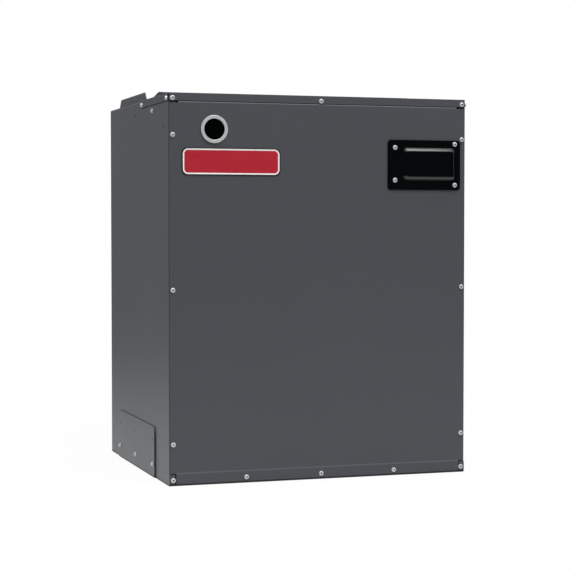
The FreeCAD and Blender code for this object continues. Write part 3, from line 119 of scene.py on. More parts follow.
class Finish(Nodes):
    """A node material for a surface, placed by the object's own coordinates."""

    def __init__(self, name):
        self.material = bpy.data.materials.new(name)
        self.material.use_nodes = True
        super().__init__(self.material.node_tree)
        self.surface = self.tree.nodes["Principled BSDF"]
        self.place = self.add("ShaderNodeTexCoord").outputs["Object"]

    def shader(self, **inputs):
        self.feed(self.surface, **inputs)
        return self

    def noise(self, scale, detail=3.0, stretch=None):
        place = self.place
        if stretch is not None:
            place = self.feed(self.add("ShaderNodeMapping"), Vector=place, Scale=stretch).outputs["Vector"]
        node = self.add("ShaderNodeTexNoise")
        return self.feed(node, Vector=place, Scale=scale, Detail=detail).outputs["Fac"]

    def spread(self, noise, low=0.0, high=1.0):
        """A noise pattern carried over to a range of its own."""
        return self.span(noise, NOISE_LOW, NOISE_HIGH, low, high)

    def dust(self, scale, detail, start, full, most):
        """Patches of dust, from none up to the most there is."""
        return self.span(self.noise(scale, detail), start, full, 0.0, most)

    def fade(self, place, start, end, strength=1.0):
        """A strength that holds up to a start and falls to 0 at an end."""
        return self.span(place, start, end, strength, 0.0)

    def cells(self, scale, output, distance="EUCLIDEAN"):
        node = self.add("ShaderNodeTexVoronoi", distance=distance)
        return self.feed(node, Vector=self.place, Scale=scale).outputs[output]

    def between(self, factor, first, second):
        """A colour between two others."""
        node = self.add("ShaderNodeMix", data_type="RGBA")
        self.put(node.inputs["Factor"], factor)
        self.put(node.inputs[MIX_FIRST], first)
        self.put(node.inputs[MIX_SECOND], second)
        return node.outputs[MIX_RESULT]

    def tones(self, factor, colour, start=1.0, end=1.0):
        """A colour between two tones of its own."""
        return self.between(factor, shaded(colour, start), shaded(colour, end))

    def bump(self, height, strength, depth):
        node = self.feed(self.add("ShaderNodeBump"), Height=height, Strength=strength, Distance=depth)
        return self.shader(Normal=node.outputs["Normal"])

    def grain(self, scale, strength, depth):
        """A fine even grain in the surface."""
        return self.bump(self.noise(scale, GRAIN_DETAIL), strength, depth)

    def normal(self):
        return self.add("ShaderNodeNewGeometry").outputs["Normal"]

    def axis(self, name):
        return self.split(self.place)[name]

    def waves(self, name, pitch):
        """A wave from -1 to 1 along an axis."""
        return self.math("SINE", self.math("MULTIPLY", self.axis(name), 2 * math.pi / pitch))

    def stripe(self, name, low, high, blur):
        """1 between two places along an axis and 0 beyond them."""
        place = self.axis(name)
        rise = self.span(place, low - blur, low)
        return self.math("MULTIPLY", rise, self.fade(place, high, high + blur))

    def near_edges(self, low, high, reach):
        """1 along the edges of a box and 0 further in than the reach."""
        gaps = []
        for index, name in enumerate("XYZ"):
            place = self.axis(name)
            from_low = self.math("SUBTRACT", place, low[index])
            from_high = self.math("SUBTRACT", high[index], place)
            gaps.append(self.math("MINIMUM", from_low, from_high))
        smaller = self.math("MINIMUM", gaps[0], gaps[1])
        larger = self.math("MAXIMUM", gaps[0], gaps[1])
        middle = self.math("MAXIMUM", smaller, self.math("MINIMUM", larger, gaps[2]))
        return self.fade(middle, 0.0, reach)


# Powder coat: colours, gloss, and where it is worn and where highlights and shade are painted on it
FRONT_GREY = linear(74, 76, 81)
SIDE_GREY = linear(78, 80, 84)
PAINT_IOR = 1.35
FRONT_ROUGHNESS = 0.5
SIDE_ROUGHNESS = 0.42
GLOSS_NOISE = (0.25, 0.75)
GLOSS_SWING = 0.012
EDGE_REACH = 2.4 * MM
RUB_NOISE = (0.42, 0.72)
RUB_AND_HIGHLIGHT_STRENGTH = (0.15, 0.45)
HEM_TOP = (3.4 * MM, 4.8 * MM)
HEM_STRENGTH = 0.92
BEND_BLUR = 0.5 * MM
PANEL_TOP_BEND = 2.0 * MM
BAND_BEND = 24.7 * MM
BAND_HALF = 0.9 * MM
BAND_HIGHLIGHT_SHARE = 0.75
TAB_START = 297.5 * MM
TAB_STRENGTH = 0.9
DUCT_FOOT = 762.5 * MM
DUCT_STRENGTH = 0.6
COVER_CUT = (0.3 * MM, 0.6 * MM)
FLANGE_BEND = (2.0 * MM, 2.6 * MM)
FLANGE_FACE = (0.2 * MM, 0.4 * MM)
FLANGE_STRENGTH = 0.85
PANEL_INSET = (2.8 * MM, 2.4 * MM)
LEG_SHADE_BELOW = 1.8 * MM
LEG_SHADE_ABOVE = 1.0 * MM
RIM_HIGHLIGHT_WIDTH = 1.6 * MM

# Tones of painted highlights and painted shade on the powder coat, and of its worn edges, as shares of its
# colour
RUBBED_AND_HIGHLIGHTED_EDGE = 1.8
PAINTED_BEND_HIGHLIGHT = 1.75
PAINTED_RIM_HIGHLIGHT = 1.6
SHADED_BEND = 0.74
SHADED_DUCT = 0.4
SHADED_CUT_EDGE = 0.3
SHADOW_UNDER_LEG = 0.22
TAB_SHADE = 0.2
SHADED_HEM = 0.15
SHADE_BEHIND_PANEL = 0.1


def plain(finish, paint, colour, low, high):
    """Paint with no painted highlights or shade of its own."""
    return paint


def panel_light_and_shade(finish, paint, colour, low, high):
    """Painted highlights along the bends of the panel's top and its lower band, and painted shade round the
    corner tabs.
    """
    across = finish.math("ABSOLUTE", finish.axis("X"))
    corner = finish.span(across, TAB_START, TAB_START + BEND_BLUR)
    # Painted highlight along the panel's top bend and its lower band's bend
    top_bend = finish.stripe("Z", high.z - PANEL_TOP_BEND, high.z, BEND_BLUR)
    band_bend = finish.stripe("Z", BAND_BEND - BAND_HALF, BAND_BEND + BAND_HALF, BEND_BLUR)
    band_bend = finish.math("MULTIPLY", band_bend, finish.math("SUBTRACT", BAND_HIGHLIGHT_SHARE, corner))
    bend_highlights = finish.math("MAXIMUM", top_bend, band_bend)
    paint = finish.between(bend_highlights, paint, shaded(colour, PAINTED_BEND_HIGHLIGHT))
    # Painted shade round the corner tabs, below the band's bend
    low_down = finish.fade(finish.axis("Z"), BAND_BEND, BAND_BEND + BEND_BLUR, TAB_STRENGTH)
    return finish.between(finish.math("MULTIPLY", corner, low_down), paint, shaded(colour, TAB_SHADE))


def duct_shade(finish, paint, colour, low, high):
    """Painted shade on the duct flange that stands above the cover."""
    duct = finish.span(finish.axis("Z"), DUCT_FOOT, DUCT_FOOT + BEND_BLUR, 0.0, DUCT_STRENGTH)
    return finish.between(duct, paint, shaded(colour, SHADED_DUCT))


def cover_edge(finish, paint, colour, low, high):
    """Painted shade on the cut front edge of the side cover."""
    edge = finish.fade(finish.axis("Y"), low.y + COVER_CUT[0], low.y + COVER_CUT[1])
    return finish.between(edge, paint, shaded(colour, SHADED_CUT_EDGE))


def wrapper_light_and_shade(finish, paint, colour, low, high):
    """Painted shade at the front bends, behind the panel and under the cover's leg, and a painted highlight
    on the top rim.
    """
    depth = finish.axis("Y")
    # Painted shade on the front bends
    bend = finish.fade(depth, low.y + FLANGE_BEND[0], low.y + FLANGE_BEND[1])
    paint = finish.between(bend, paint, shaded(colour, SHADED_BEND))
    # Painted shade on the flange face behind the panel's edges
    face = finish.fade(depth, low.y + FLANGE_FACE[0], low.y + FLANGE_FACE[1], FLANGE_STRENGTH)
    across = finish.math("ABSOLUTE", finish.axis("X"))
    covered = finish.fade(across, high.x - PANEL_INSET[0], high.x - PANEL_INSET[1])
    paint = finish.between(finish.math("MULTIPLY", face, covered), paint, shaded(colour, SHADE_BEHIND_PANEL))
    # Painted shadow under the top cover's leg
    leg_low, leg_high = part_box("top_front_cover")
    ahead = finish.fade(depth, leg_high.y, leg_high.y + BEND_BLUR)
    under = finish.stripe("Z", leg_low.z - LEG_SHADE_BELOW, leg_low.z + LEG_SHADE_ABOVE, BEND_BLUR)
    paint = finish.between(finish.math("MULTIPLY", under, ahead), paint, shaded(colour, SHADOW_UNDER_LEG))
    # Painted highlight along the open top rim
    rim = finish.stripe("Z", high.z - RIM_HIGHLIGHT_WIDTH, high.z, BEND_BLUR)
    open_rim = finish.math("MULTIPLY", rim, finish.math("SUBTRACT", 1.0, ahead))
    return finish.between(open_rim, paint, shaded(colour, PAINTED_RIM_HIGHLIGHT))


# Painted highlights and shade that each node adds to its powder coat
LIGHT_AND_SHADE = {
    "front_panel": panel_light_and_shade,
    "top_front_cover": duct_shade,
    "side_access_cover": cover_edge,
    "cabinet_wrapper": wrapper_light_and_shade,
}


def powder_coat(node, colour, roughness):
    """Satin powder coat: orange peel, drift in tone, worn edges with a painted highlight, painted shade along
    the hem, and the node's own painted highlights and shade.
    """
    finish = Finish(f"powder_coat_{node}")
    low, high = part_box(node)
    drift = finish.spread(finish.noise(3.0, detail=4.0))
    paint = finish.tones(drift, colour, 0.98, 1.02)
    # Edges lighter from patchy wear and from a painted highlight that runs along every edge
    edge = finish.near_edges(low, high, EDGE_REACH)
    patchy = finish.span(finish.noise(90.0, detail=5.0), *RUB_NOISE, *RUB_AND_HIGHLIGHT_STRENGTH)
    paint = finish.between(finish.math("MULTIPLY", edge, patchy), paint, shaded(colour, RUBBED_AND_HIGHLIGHTED_EDGE))
    # Painted shade along the bottom hem
    hem = finish.fade(finish.axis("Z"), *HEM_TOP, HEM_STRENGTH)
    paint = finish.between(hem, paint, shaded(colour, SHADED_HEM))
    paint = LIGHT_AND_SHADE.get(node, plain)(finish, paint, colour, low, high)
    gloss = finish.noise(30.0, detail=4.0)
    gloss = finish.span(gloss, *GLOSS_NOISE, roughness - GLOSS_SWING, roughness + GLOSS_SWING)
    finish.shader(Base_Color=paint, Roughness=gloss, IOR=PAINT_IOR)
    return finish.grain(900.0, strength=0.04, depth=0.1 * MM).material


GALVANISED = linear(168, 170, 172)
SPANGLE_SHARE = 0.5


def galvanised_sheet():
    """Zinc-coated steel with soft crystal spangle."""
    finish = Finish("galvanised_sheet")
    coarse = finish.math("MULTIPLY", finish.cells(70.0, "Color"), SPANGLE_SHARE)
    fine = finish.math("MULTIPLY", finish.cells(150.0, "Color"), SPANGLE_SHARE)
    spangle = finish.math("ADD", coarse, fine)
    finish.shader(Base_Color=finish.tones(spangle, GALVANISED, 0.78, 1.12))
    finish.shader(Metallic=0.9, Roughness=finish.span(spangle, 0.0, 1.0, 0.34, 0.52))
    return finish.bump(finish.noise(240.0, detail=4.0), strength=0.06, depth=0.2 * MM).material


# Insulation: foil, the threads under it, and the glue on the sides that face the wall
FOIL = linear(198, 199, 201)
FOIL_METALLIC = 0.85
FOIL_ROUGHNESS = 0.36
SCRIM_PITCH = 8 * MM
SCRIM_START = 0.86
SCRIM_HEIGHT = 0.35
GLUE = linear(40, 39, 37)
GLUE_ROUGHNESS = 0.9
GLUE_FACING = (0.4, 0.6)


def foil_facing(node, wall):
    """Foil-faced insulation: crossed scrim under wrinkled foil, and dark glue on the side at the wall."""
    finish = Finish(f"foil_facing_{node}")
    threads = [finish.span(finish.waves(name, SCRIM_PITCH), SCRIM_START, 1.0) for name in "XYZ"]
    scrim = finish.math("MAXIMUM", finish.math("MAXIMUM", threads[0], threads[1]), threads[2])
    wrinkles = finish.noise(45.0, detail=6.0)
    height = finish.math("ADD", finish.math("MULTIPLY", scrim, SCRIM_HEIGHT), wrinkles)
    toward = finish.add("ShaderNodeVectorMath", operation="DOT_PRODUCT")
    finish.put(toward.inputs[0], finish.normal())
    finish.put(toward.inputs[1], wall)
    glued = finish.span(toward.outputs["Value"], *GLUE_FACING)
    finish.shader(Base_Color=finish.between(glued, finish.tones(wrinkles, FOIL, 0.82), GLUE))
    finish.shader(Metallic=finish.span(glued, 0.0, 1.0, FOIL_METALLIC, 0.0))
    finish.shader(Roughness=finish.span(glued, 0.0, 1.0, FOIL_ROUGHNESS, GLUE_ROUGHNESS))
    return finish.bump(height, strength=0.35, depth=0.8 * MM).material


def enamel(name, colour, roughness):
    """Sprayed enamel with a little dust in it."""
    finish = Finish(name)
    dust = finish.dust(160.0, detail=6.0, start=0.55, full=0.8, most=0.35)
    finish.shader(Base_Color=finish.tones(dust, colour, end=2.2))
    finish.shader(Roughness=finish.spread(finish.noise(40.0), roughness, roughness + 0.12))
    return finish.grain(700.0, strength=0.12, depth=0.15 * MM).material


ZINC = linear(214, 215, 216)
TINT_NOISE = (0.35, 0.7)


def zinc_plate():
    """Bright zinc on screws, with faint plating tints and fine scuffs."""
    finish = Finish("zinc_plate")
    tint = finish.span(finish.noise(220.0, detail=4.0), *TINT_NOISE)
    finish.shader(Base_Color=finish.tones(tint, ZINC, 0.86), Metallic=0.3)
    finish.shader(Roughness=finish.spread(finish.noise(500.0), 0.32, 0.48))
    return finish.grain(1500.0, strength=0.05, depth=0.05 * MM).material


SILVER = linear(206, 207, 208)


def satin_silver():
    """Satin metal with a fine grain."""
    finish = Finish("bezel_silver")
    streaks = finish.noise(60.0, detail=4.0, stretch=(12.0, 1.0, 12.0))
    finish.shader(Base_Color=finish.tones(streaks, SILVER, 0.92), Metallic=0.3)
    finish.shader(Roughness=finish.spread(streaks, 0.34, 0.46))
    return finish.grain(900.0, strength=0.04, depth=0.05 * MM).material


STEEL = linear(172, 172, 174)


def ground_steel():
    """Turned steel with fine rings round the shaft."""
    finish = Finish("ground_steel")
    rings = finish.noise(30.0, stretch=(90.0, 1.0, 1.0))
    finish.shader(Base_Color=finish.tones(rings, STEEL, 0.8), Metallic=1.0)
    finish.shader(Roughness=finish.spread(rings, 0.26, 0.42))
    return finish.bump(rings, strength=0.08, depth=0.05 * MM).material


def moulded_plastic(name, colour, roughness, grain=500.0, depth=0.1 * MM):
    """Moulded plastic with a fine spark-eroded grain."""
    finish = Finish(name)
    finish.shader(Base_Color=finish.tones(finish.noise(25.0), colour, 0.9, 1.1))
    finish.shader(Roughness=finish.spread(finish.noise(120.0), roughness, roughness + 0.08))
    return finish.grain(grain, strength=0.12, depth=depth).material


# Gloss black: colour, gloss, and the matt radii of the raised face, measured back from its front
BLACK = linear(4, 8, 9)
GLOSS_IOR = 1.6
FOOT_RADIUS = (4.2 * MM, 5.7 * MM)
CROWN_RADIUS = (0.3 * MM, 0.8 * MM)
LEVEL_SLOPES = (0.35, 0.6)
MATT_BLUR = 0.2 * MM
MATT_GAIN = 0.6


def gloss_plastic():
    """Polished black plastic with faint flow marks, a trace of dust and matt radii along the raised face."""
    finish = Finish("gloss_black")
    dust = finish.dust(260.0, detail=5.0, start=0.62, full=0.86, most=0.2)
    finish.shader(Base_Color=finish.tones(dust, BLACK, end=3.0), IOR=GLOSS_IOR)
    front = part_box("breaker_cover")[0].y
    foot = finish.stripe("Y", front + FOOT_RADIUS[0], front + FOOT_RADIUS[1], MATT_BLUR)
    crown = finish.stripe("Y", front + CROWN_RADIUS[0], front + CROWN_RADIUS[1], MATT_BLUR)
    upright = finish.math("ABSOLUTE", finish.split(finish.normal())["Z"])
    level = finish.span(upright, *LEVEL_SLOPES)
    matt = finish.math("MULTIPLY", level, finish.math("MAXIMUM", foot, crown))
    polish = finish.spread(finish.noise(14.0), 0.1, 0.15)
    return finish.shader(Roughness=finish.math("MULTIPLY_ADD", matt, MATT_GAIN, polish)).material


# Circuit board: colours, and where tracks begin and pads end within the cells of a pattern
MASK_GREEN = linear(18, 84, 44)
PAD_METAL = linear(176, 172, 150)
PAD_METALLIC = 0.7
TRACK_START = (0.40, 0.46)
PAD_END = (0.10, 0.13)


def solder_mask():
    """Green circuit board with raised tracks and a few plated pads."""
    finish = Finish("solder_mask")
    tracks = finish.span(finish.cells(110.0, "Distance", "MANHATTAN"), *TRACK_START)
    pads = finish.fade(finish.cells(190.0, "Distance"), *PAD_END)
    board = finish.tones(tracks, MASK_GREEN, end=1.7)
    finish.shader(Base_Color=finish.between(pads, board, PAD_METAL))
    finish.shader(Roughness=0.34, Metallic=finish.math("MULTIPLY", pads, PAD_METALLIC))
    return finish.bump(finish.math("ADD", tracks, pads), strength=0.25, depth=0.08 * MM).material


CORE_GREY = linear(62, 60, 58)
SHEET_PITCH = 0.9 * MM


def laminations():
    """Stacked steel sheets of a transformer core under varnish."""
    finish = Finish("laminations")
    sheets = finish.waves("Y", SHEET_PITCH)
    finish.shader(Base_Color=finish.tones(finish.span(sheets, -1.0, 1.0), CORE_GREY, 0.6))
    finish.shader(Metallic=0.5, Roughness=finish.spread(finish.noise(80.0), 0.38, 0.55))
    return finish.bump(sheets, strength=0.2, depth=0.1 * MM).material


TAPE = linear(186, 152, 84)
LAP_PITCH = 6 * MM


def coil_tape():
    """Wound coil under yellow tape, with the lap of each turn showing."""
    finish = Finish("coil_tape")
    laps = finish.waves("Z", LAP_PITCH)
    finish.shader(Base_Color=finish.tones(finish.span(laps, -1.0, 1.0), TAPE, 0.8))
    finish.shader(Roughness=finish.spread(finish.noise(60.0), 0.4, 0.55))
    return finish.bump(laps, strength=0.3, depth=0.2 * MM).material


GLASS = linear(2, 4, 5)
GLASS_DUST = linear(14, 17, 18)
GLASS_IOR = 1.25


def port_glass():
    """Near-black polished glass with faint dust."""
    finish = Finish("port_glass")
    dust = finish.dust(260.0, detail=5.0, start=0.6, full=0.85, most=0.2)
    finish.shader(Base_Color=finish.between(dust, GLASS, GLASS_DUST), IOR=GLASS_IOR)
    return finish.shader(Roughness=finish.spread(finish.noise(90.0), 0.05, 0.12)).material


# Badge: colours, gloss, and the widths of its lines measured in from its edge
BADGE_RED = linear(180, 34, 50)
BADGE_RIM = linear(250, 244, 244)
BADGE_EDGE = linear(20, 5, 8)
BADGE_IOR = 1.4
BADGE_CORNER = 12.0 * MM
BADGE_HEM = 1.6 * MM
BADGE_LINE = 4.5 * MM
PRINT_BLUR = 0.2 * MM


def badge_print():
    """Printed plate under satin lacquer: red field, white border line and a thin dark edge."""
    finish = Finish("badge_print")
    low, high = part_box("nameplate_rim")
    middle = (low + high) / 2
    squares = []
    for index, name in ((0, "X"), (2, "Z")):
        out = finish.math("ABSOLUTE", finish.math("SUBTRACT", finish.axis(name), middle[index]))
        past = finish.math("SUBTRACT", out, (high[index] - low[index]) / 2 - BADGE_CORNER)
        squares.append(finish.math("POWER", finish.math("MAXIMUM", past, 0.0), 2.0))
    depth = finish.math("SUBTRACT", BADGE_CORNER, finish.math("SQRT", finish.math("ADD", *squares)))
    drift = finish.noise(35.0, detail=4.0)
    red = finish.tones(drift, BADGE_RED, 0.93, 1.05)
    white = finish.tones(drift, BADGE_RIM, 0.94)
    bordered = finish.between(finish.span(depth, BADGE_LINE, BADGE_LINE + PRINT_BLUR), white, red)
    edged = finish.between(finish.span(depth, BADGE_HEM, BADGE_HEM + PRINT_BLUR), BADGE_EDGE, bordered)
    finish.shader(Base_Color=edged, IOR=BADGE_IOR)
    finish.shader(Roughness=finish.spread(finish.noise(60.0), 0.3, 0.4))
    return finish.grain(800.0, strength=0.05, depth=0.05 * MM).material


def clear_plastic(name, colour):
    """Tinted clear plastic with slight flow marks."""
    finish = Finish(name)
    flow = finish.noise(120.0)
    finish.shader(Base_Color=finish.tones(flow, colour, 0.85), Transmission_Weight=0.4)
    return finish.shader(Roughness=finish.spread(flow, 0.12, 0.24)).material


# Meshes: how far apart doubled corners may lie, and how sharp an edge has to be
WELD_REACH = 0.001 * MM
BEVEL_ANGLE = math.radians(35)
SHARP_ANGLE = math.radians(40)
HEX_SIDES = 6


def dress(names, material):
    """Gives CAD nodes a finish."""
    for name in names:
        slots = cad[name].data.materials
        slots.clear()
        slots.append(material)


def soften(names, width, segments=2):
    """Breaks the sharp edges of CAD nodes so that they catch the light."""
    for name in names:
        weld = cad[name].modifiers.new("weld", "WELD")
        weld.merge_threshold = WELD_REACH
        bevel = cad[name].modifiers.new("edge", "BEVEL")
        bevel.width = width
        bevel.segments = segments
        bevel.limit_method = "ANGLE"
        bevel.angle_limit = BEVEL_ANGLE
        cad[name].modifiers.new("shading", "WEIGHTED_NORMAL")


def piece(name, body, materials, made):
    """Turns a finished bmesh into an object that rides on a body."""
    mesh = bpy.data.meshes.new(name)
    made.to_mesh(mesh)
    made.free()
    mesh.shade_smooth()
    mesh.set_sharp_from_angle(angle=SHARP_ANGLE)
    for material in materials:
        mesh.materials.append(material)
    shape = bpy.data.objects.new(name, mesh)
    bpy.context.scene.collection.objects.link(shape)
    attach(shape, body)
    return shape


def hex_reach(flat_radius, angle):
    """Distance to the side of a hexagon at an angle."""
    sector = 2 * math.pi / HEX_SIDES
    return flat_radius / math.cos((angle % sector) - sector / 2)


def lathe(made, place, rings, segments, dark=0, hollow=False):
    """Adds a turned form along its own Z; each ring is (radius, height, hexagonal) in millimetres.

    The first rings, as many as dark says, take the second material. A hollow form is a closed hoop.
    """
    loops = []
    for radius, height, hexagonal in rings:
        loop = []
        for step in range(segments):
            angle = 2 * math.pi * step / segments
            reach = hex_reach(radius, angle) if hexagonal else radius
            point = Vector((reach * math.cos(angle), reach * math.sin(angle), height)) * MM
            loop.append(made.verts.new(place @ point))
        loops.append(loop)
    pairs = list(zip(loops, loops[1:]))
    if hollow:
        pairs.append((loops[-1], loops[0]))
    else:
        top = made.faces.new(loops[0])
        top.material_index = min(dark, 1)
        made.faces.new(loops[-1][::-1])
    for index, (upper, lower) in enumerate(pairs):
        for step in range(segments):
            following = (step + 1) % segments
            face = made.faces.new((upper[step], lower[step], lower[following], upper[following]))
            face.material_index = 1 if index + 1 < dark else 0


def block(made, low, high, edge):
    """Adds a box with rounded edges between two corners, all in metres."""
    low = Vector(low)
    high = Vector(high)
    place = Matrix.Translation((low + high) / 2) @ Matrix.Diagonal((high - low).to_4d())
    corners = bmesh.ops.create_cube(made, size=1.0, matrix=place)["verts"]
    edges = list({line for corner in corners for line in corner.link_edges})
    bmesh.ops.bevel(made, geom=edges, offset=edge, segments=2, profile=0.5, affect="EDGES")


def facing(place, outward):
    """A frame at a place whose own Z points outward."""
    return Matrix.Translation(place) @ Vector(outward).to_track_quat("Z", "Y").to_matrix().to_4x4()


def around(count, radius, start=0.0):
    """Places round a circle, as a pair of offsets each."""
    turns = [start + 2 * math.pi * step / count for step in range(count)]
    return [(radius * math.cos(turn), radius * math.sin(turn)) for turn in turns]


def loose_boxes(node):
    """Lowest and highest corners of each separate solid in a node."""
    mesh = bmesh.new()
    mesh.from_mesh(cad[node].data)
    bmesh.ops.remove_doubles(mesh, verts=mesh.verts, dist=WELD_REACH)
    waiting = set(mesh.verts)
    boxes = []
    while waiting:
        group = [waiting.pop()]
        for vertex in group:
            for edge in vertex.link_edges:
                other = edge.other_vert(vertex)
                if other in waiting:
                    waiting.remove(other)
                    group.append(other)
        corners = list(zip(*[vertex.co for vertex in group]))
        boxes.append((Vector([min(c) for c in corners]), Vector([max(c) for c in corners])))
    mesh.free()
    return sorted(boxes, key=lambda box: tuple(box[0]))


# Screws with hex washer heads, in millimetres, from the recess in the head down to the shank's tip
SCREW_SEGMENTS = 24
FINE_SEGMENTS = 16
HEAD_HEIGHT = 3.4
SHANK_RADIUS = 1.9
THREAD_PITCH = 1.0
THREAD_DEPTH = 0.4
THREAD_TURNS = 5
RECESS_RINGS = 3
HEAD_RINGS = [
    (0.9, 1.7, False), (1.3, 1.9, False), (1.6, 2.9, False), (1.9, HEAD_HEIGHT, False),
    (3.1, HEAD_HEIGHT, True), (3.5, 3.1, True), (3.5, 1.5, True), (3.8, 1.2, False),
    (4.6, 0.95, False), (4.8, 0.6, False), (4.75, 0.1, False), (4.5, 0.0, False),
    (SHANK_RADIUS, 0.0, False),
]

# How far a screw is turned by its place, in radians for each metre
TWIST_ACROSS = 90
TWIST_UP = 50


def screw_rings():
    rings = list(HEAD_RINGS)
    for turn in range(THREAD_TURNS):
        crest = -THREAD_DEPTH - turn * THREAD_PITCH
        rings.append((SHANK_RADIUS, crest, False))
        rings.append((SHANK_RADIUS - THREAD_DEPTH, crest - THREAD_PITCH / 2, False))
    rings.append((SHANK_RADIUS / 4, -THREAD_TURNS * THREAD_PITCH - THREAD_PITCH, False))
    return rings


def screw_place(low, high, outward):
    """Where a screw's bearing face lies, turned so that its head points outward."""
    middle = (low + high) / 2
    axis = max(range(3), key=lambda index: abs(outward[index]))
    head = HEAD_HEIGHT * MM
    middle[axis] = high[axis] - head if outward[axis] > 0 else low[axis] + head
    return facing(middle, outward)


def add_screws(node, body):
    """Stands detailed screws in for a node's plain ones, each turned a little differently."""
    wall_low, wall_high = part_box("cabinet_wrapper")
    made = bmesh.new()
    for low, high in loose_boxes(node):
        middle = (low + high) / 2
        outward = FORWARD
        if low.x < wall_low.x or node == "mount_bolts":
            outward = LEFT
        elif high.x > wall_high.x:
            outward = RIGHT
        twist = Matrix.Rotation(middle.x * TWIST_ACROSS + middle.z * TWIST_UP, 4, "Z")
        place = screw_place(low, high, outward) @ twist
        lathe(made, place, screw_rings(), SCREW_SEGMENTS, RECESS_RINGS)
    detailed = piece(f"{node}_detailed", body, [zinc, recess_shade], made)
    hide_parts(node)


def add_all_screws():
    for node in ("panel_screws", "breaker_cover_screws"):
        add_screws(node, "panel")
    for node in ("top_cover_screws", "base_corner_screws", "brace_screws", "side_cover_screws",
                 "inner_screws", "mount_bolts"):
        add_screws(node, "cabinet")
    dress(["belly_band_bolt", "hub_set_screw"], zinc)


def dress_cabinet():
    for node in ("front_panel", "top_front_cover", "base_pan", "top_front_rail"):
        dress([node], powder_coat(node, FRONT_GREY, FRONT_ROUGHNESS))
    for node in ("cabinet_wrapper", "side_access_cover", "supply_frame"):
        dress([node], powder_coat(node, SIDE_GREY, SIDE_ROUGHNESS))
    dress(["blower_deck", "control_partition", "heater_blank_plate", "top_brace"], zinc_sheet)
    for node, wall in (("left_liner", LEFT), ("right_liner", RIGHT), ("back_liner", BACK),
                       ("panel_liner", FORWARD)):
        dress([node], foil_facing(node, wall))
    soften(["front_panel", "top_front_cover", "base_pan", "side_access_cover", "supply_frame"],
           width=0.35 * MM)


def dress_blower():
    dress(["scroll_wrap", "housing_side_left", "housing_side_right", "blower_rails", "belly_band",
           "mount_arms", "wheel_disc", "blade_strip_left", "blade_strip_right"], zinc_sheet)
    dress(["motor_shell", "motor_end_bell"], enamel("motor_enamel", linear(30, 31, 33), 0.32))
    dress(["motor_control_module"], module_plastic)
    dress(["motor_shaft", "wheel_hub"], ground_steel())
    rubber = moulded_plastic("grommet_rubber", linear(20, 20, 20), 0.7, grain=600.0, depth=0.2 * MM)
    dress(["mount_grommets"], rubber)
    soften(["motor_shell", "motor_end_bell", "motor_control_module"], width=3.0 * MM, segments=3)
    soften(["wheel_hub"], width=0.8 * MM)


def dress_controls():
    dress(["control_board"], solder_mask())
    dress(["board_relays", "board_terminals"], chip_black)
    nylon = moulded_plastic("nylon_white", linear(224, 222, 212), 0.42)
    dress(["board_standoffs", "board_connectors"], nylon)
    dress(["board_led", "board_fuse"], clear_plastic("amber_clear", linear(214, 132, 40)))
    dress(["transformer_core"], laminations())
    dress(["transformer_coil"], coil_tape())
    soften(["board_relays", "board_terminals", "board_connectors"], width=0.6 * MM)
    soften(["transformer_core"], width=0.4 * MM)


def dress_panel_trim():
    dress(["sight_bezel"], satin_silver())
    dress(["sight_lens"], port_glass())
    dress(["nameplate_rim", "nameplate_face"], badge_print())
    dress(["breaker_cover"], gloss_plastic())
    soften(["sight_bezel"], width=1.0 * MM, segments=3)
    soften(["nameplate_rim", "nameplate_face"], width=0.4 * MM)
    soften(["breaker_cover"], width=1.2 * MM, segments=3)


def add_turned(name, body, materials, rings, places, segments=SCREW_SEGMENTS, dark=0):
    """One piece made of the same turned form at several places."""
    made = bmesh.new()
    for place in places:
        lathe(made, place, rings, segments, dark)
    return piece(name, body, materials, made)


# Plugs in the walls' spare holes: their form and places (y, z), in millimetres
PLUG_RINGS = [(2.0, 0.5, False), (2.9, 0.4, False), (3.2, 0.1, False), (2.0, 0.0, False), (1.9, -1.4, False)]
PLUG_SPOTS = ((-225.5, 698.9), (21.2, 735.0))


def add_wall_plugs():
    low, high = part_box("cabinet_wrapper")
    places = []
    for y, z in PLUG_SPOTS:
        places.append(facing((low.x, y * MM, z * MM), LEFT))
        places.append(facing((high.x, y * MM, z * MM), RIGHT))
    add_turned("wall_plugs", "cabinet", [chip_black], PLUG_RINGS, places)


# Washers that pin the insulation to the sheets: their form, and their rows and columns, in millimetres
WASHER_RINGS = [
    (1.3, 1.0, False), (2.0, 0.9, False), (2.3, 0.4, False), (9.0, 0.3, False), (13.4, 0.9, False),
    (14.0, 0.6, False), (13.6, 0.0, False), (1.4, 0.0, False), (0.8, -6.0, False),
]
WALL_ROWS = (200, 420, 630)
SIDE_COLUMNS = (-160, 160)
WIDE_COLUMNS = (-200, 0, 200)
PANEL_ROWS = (120, 330, 620)


def add_liner_washers():
    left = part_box("left_liner")[1].x
    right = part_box("right_liner")[0].x
    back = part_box("back_liner")[0].y
    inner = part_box("panel_liner")[1].y
    places = []
    for z in WALL_ROWS:
        for y in SIDE_COLUMNS:
            places.append(facing((left, y * MM, z * MM), RIGHT))
            places.append(facing((right, y * MM, z * MM), LEFT))
        for x in WIDE_COLUMNS:
            places.append(facing((x * MM, back, z * MM), FORWARD))
    add_turned("liner_washers", "cabinet", [zinc_sheet], WASHER_RINGS, places)
    places = [facing((x * MM, inner, z * MM), BACK) for x in WIDE_COLUMNS for z in PANEL_ROWS]
    add_turned("panel_washers", "panel", [zinc_sheet], WASHER_RINGS, places)


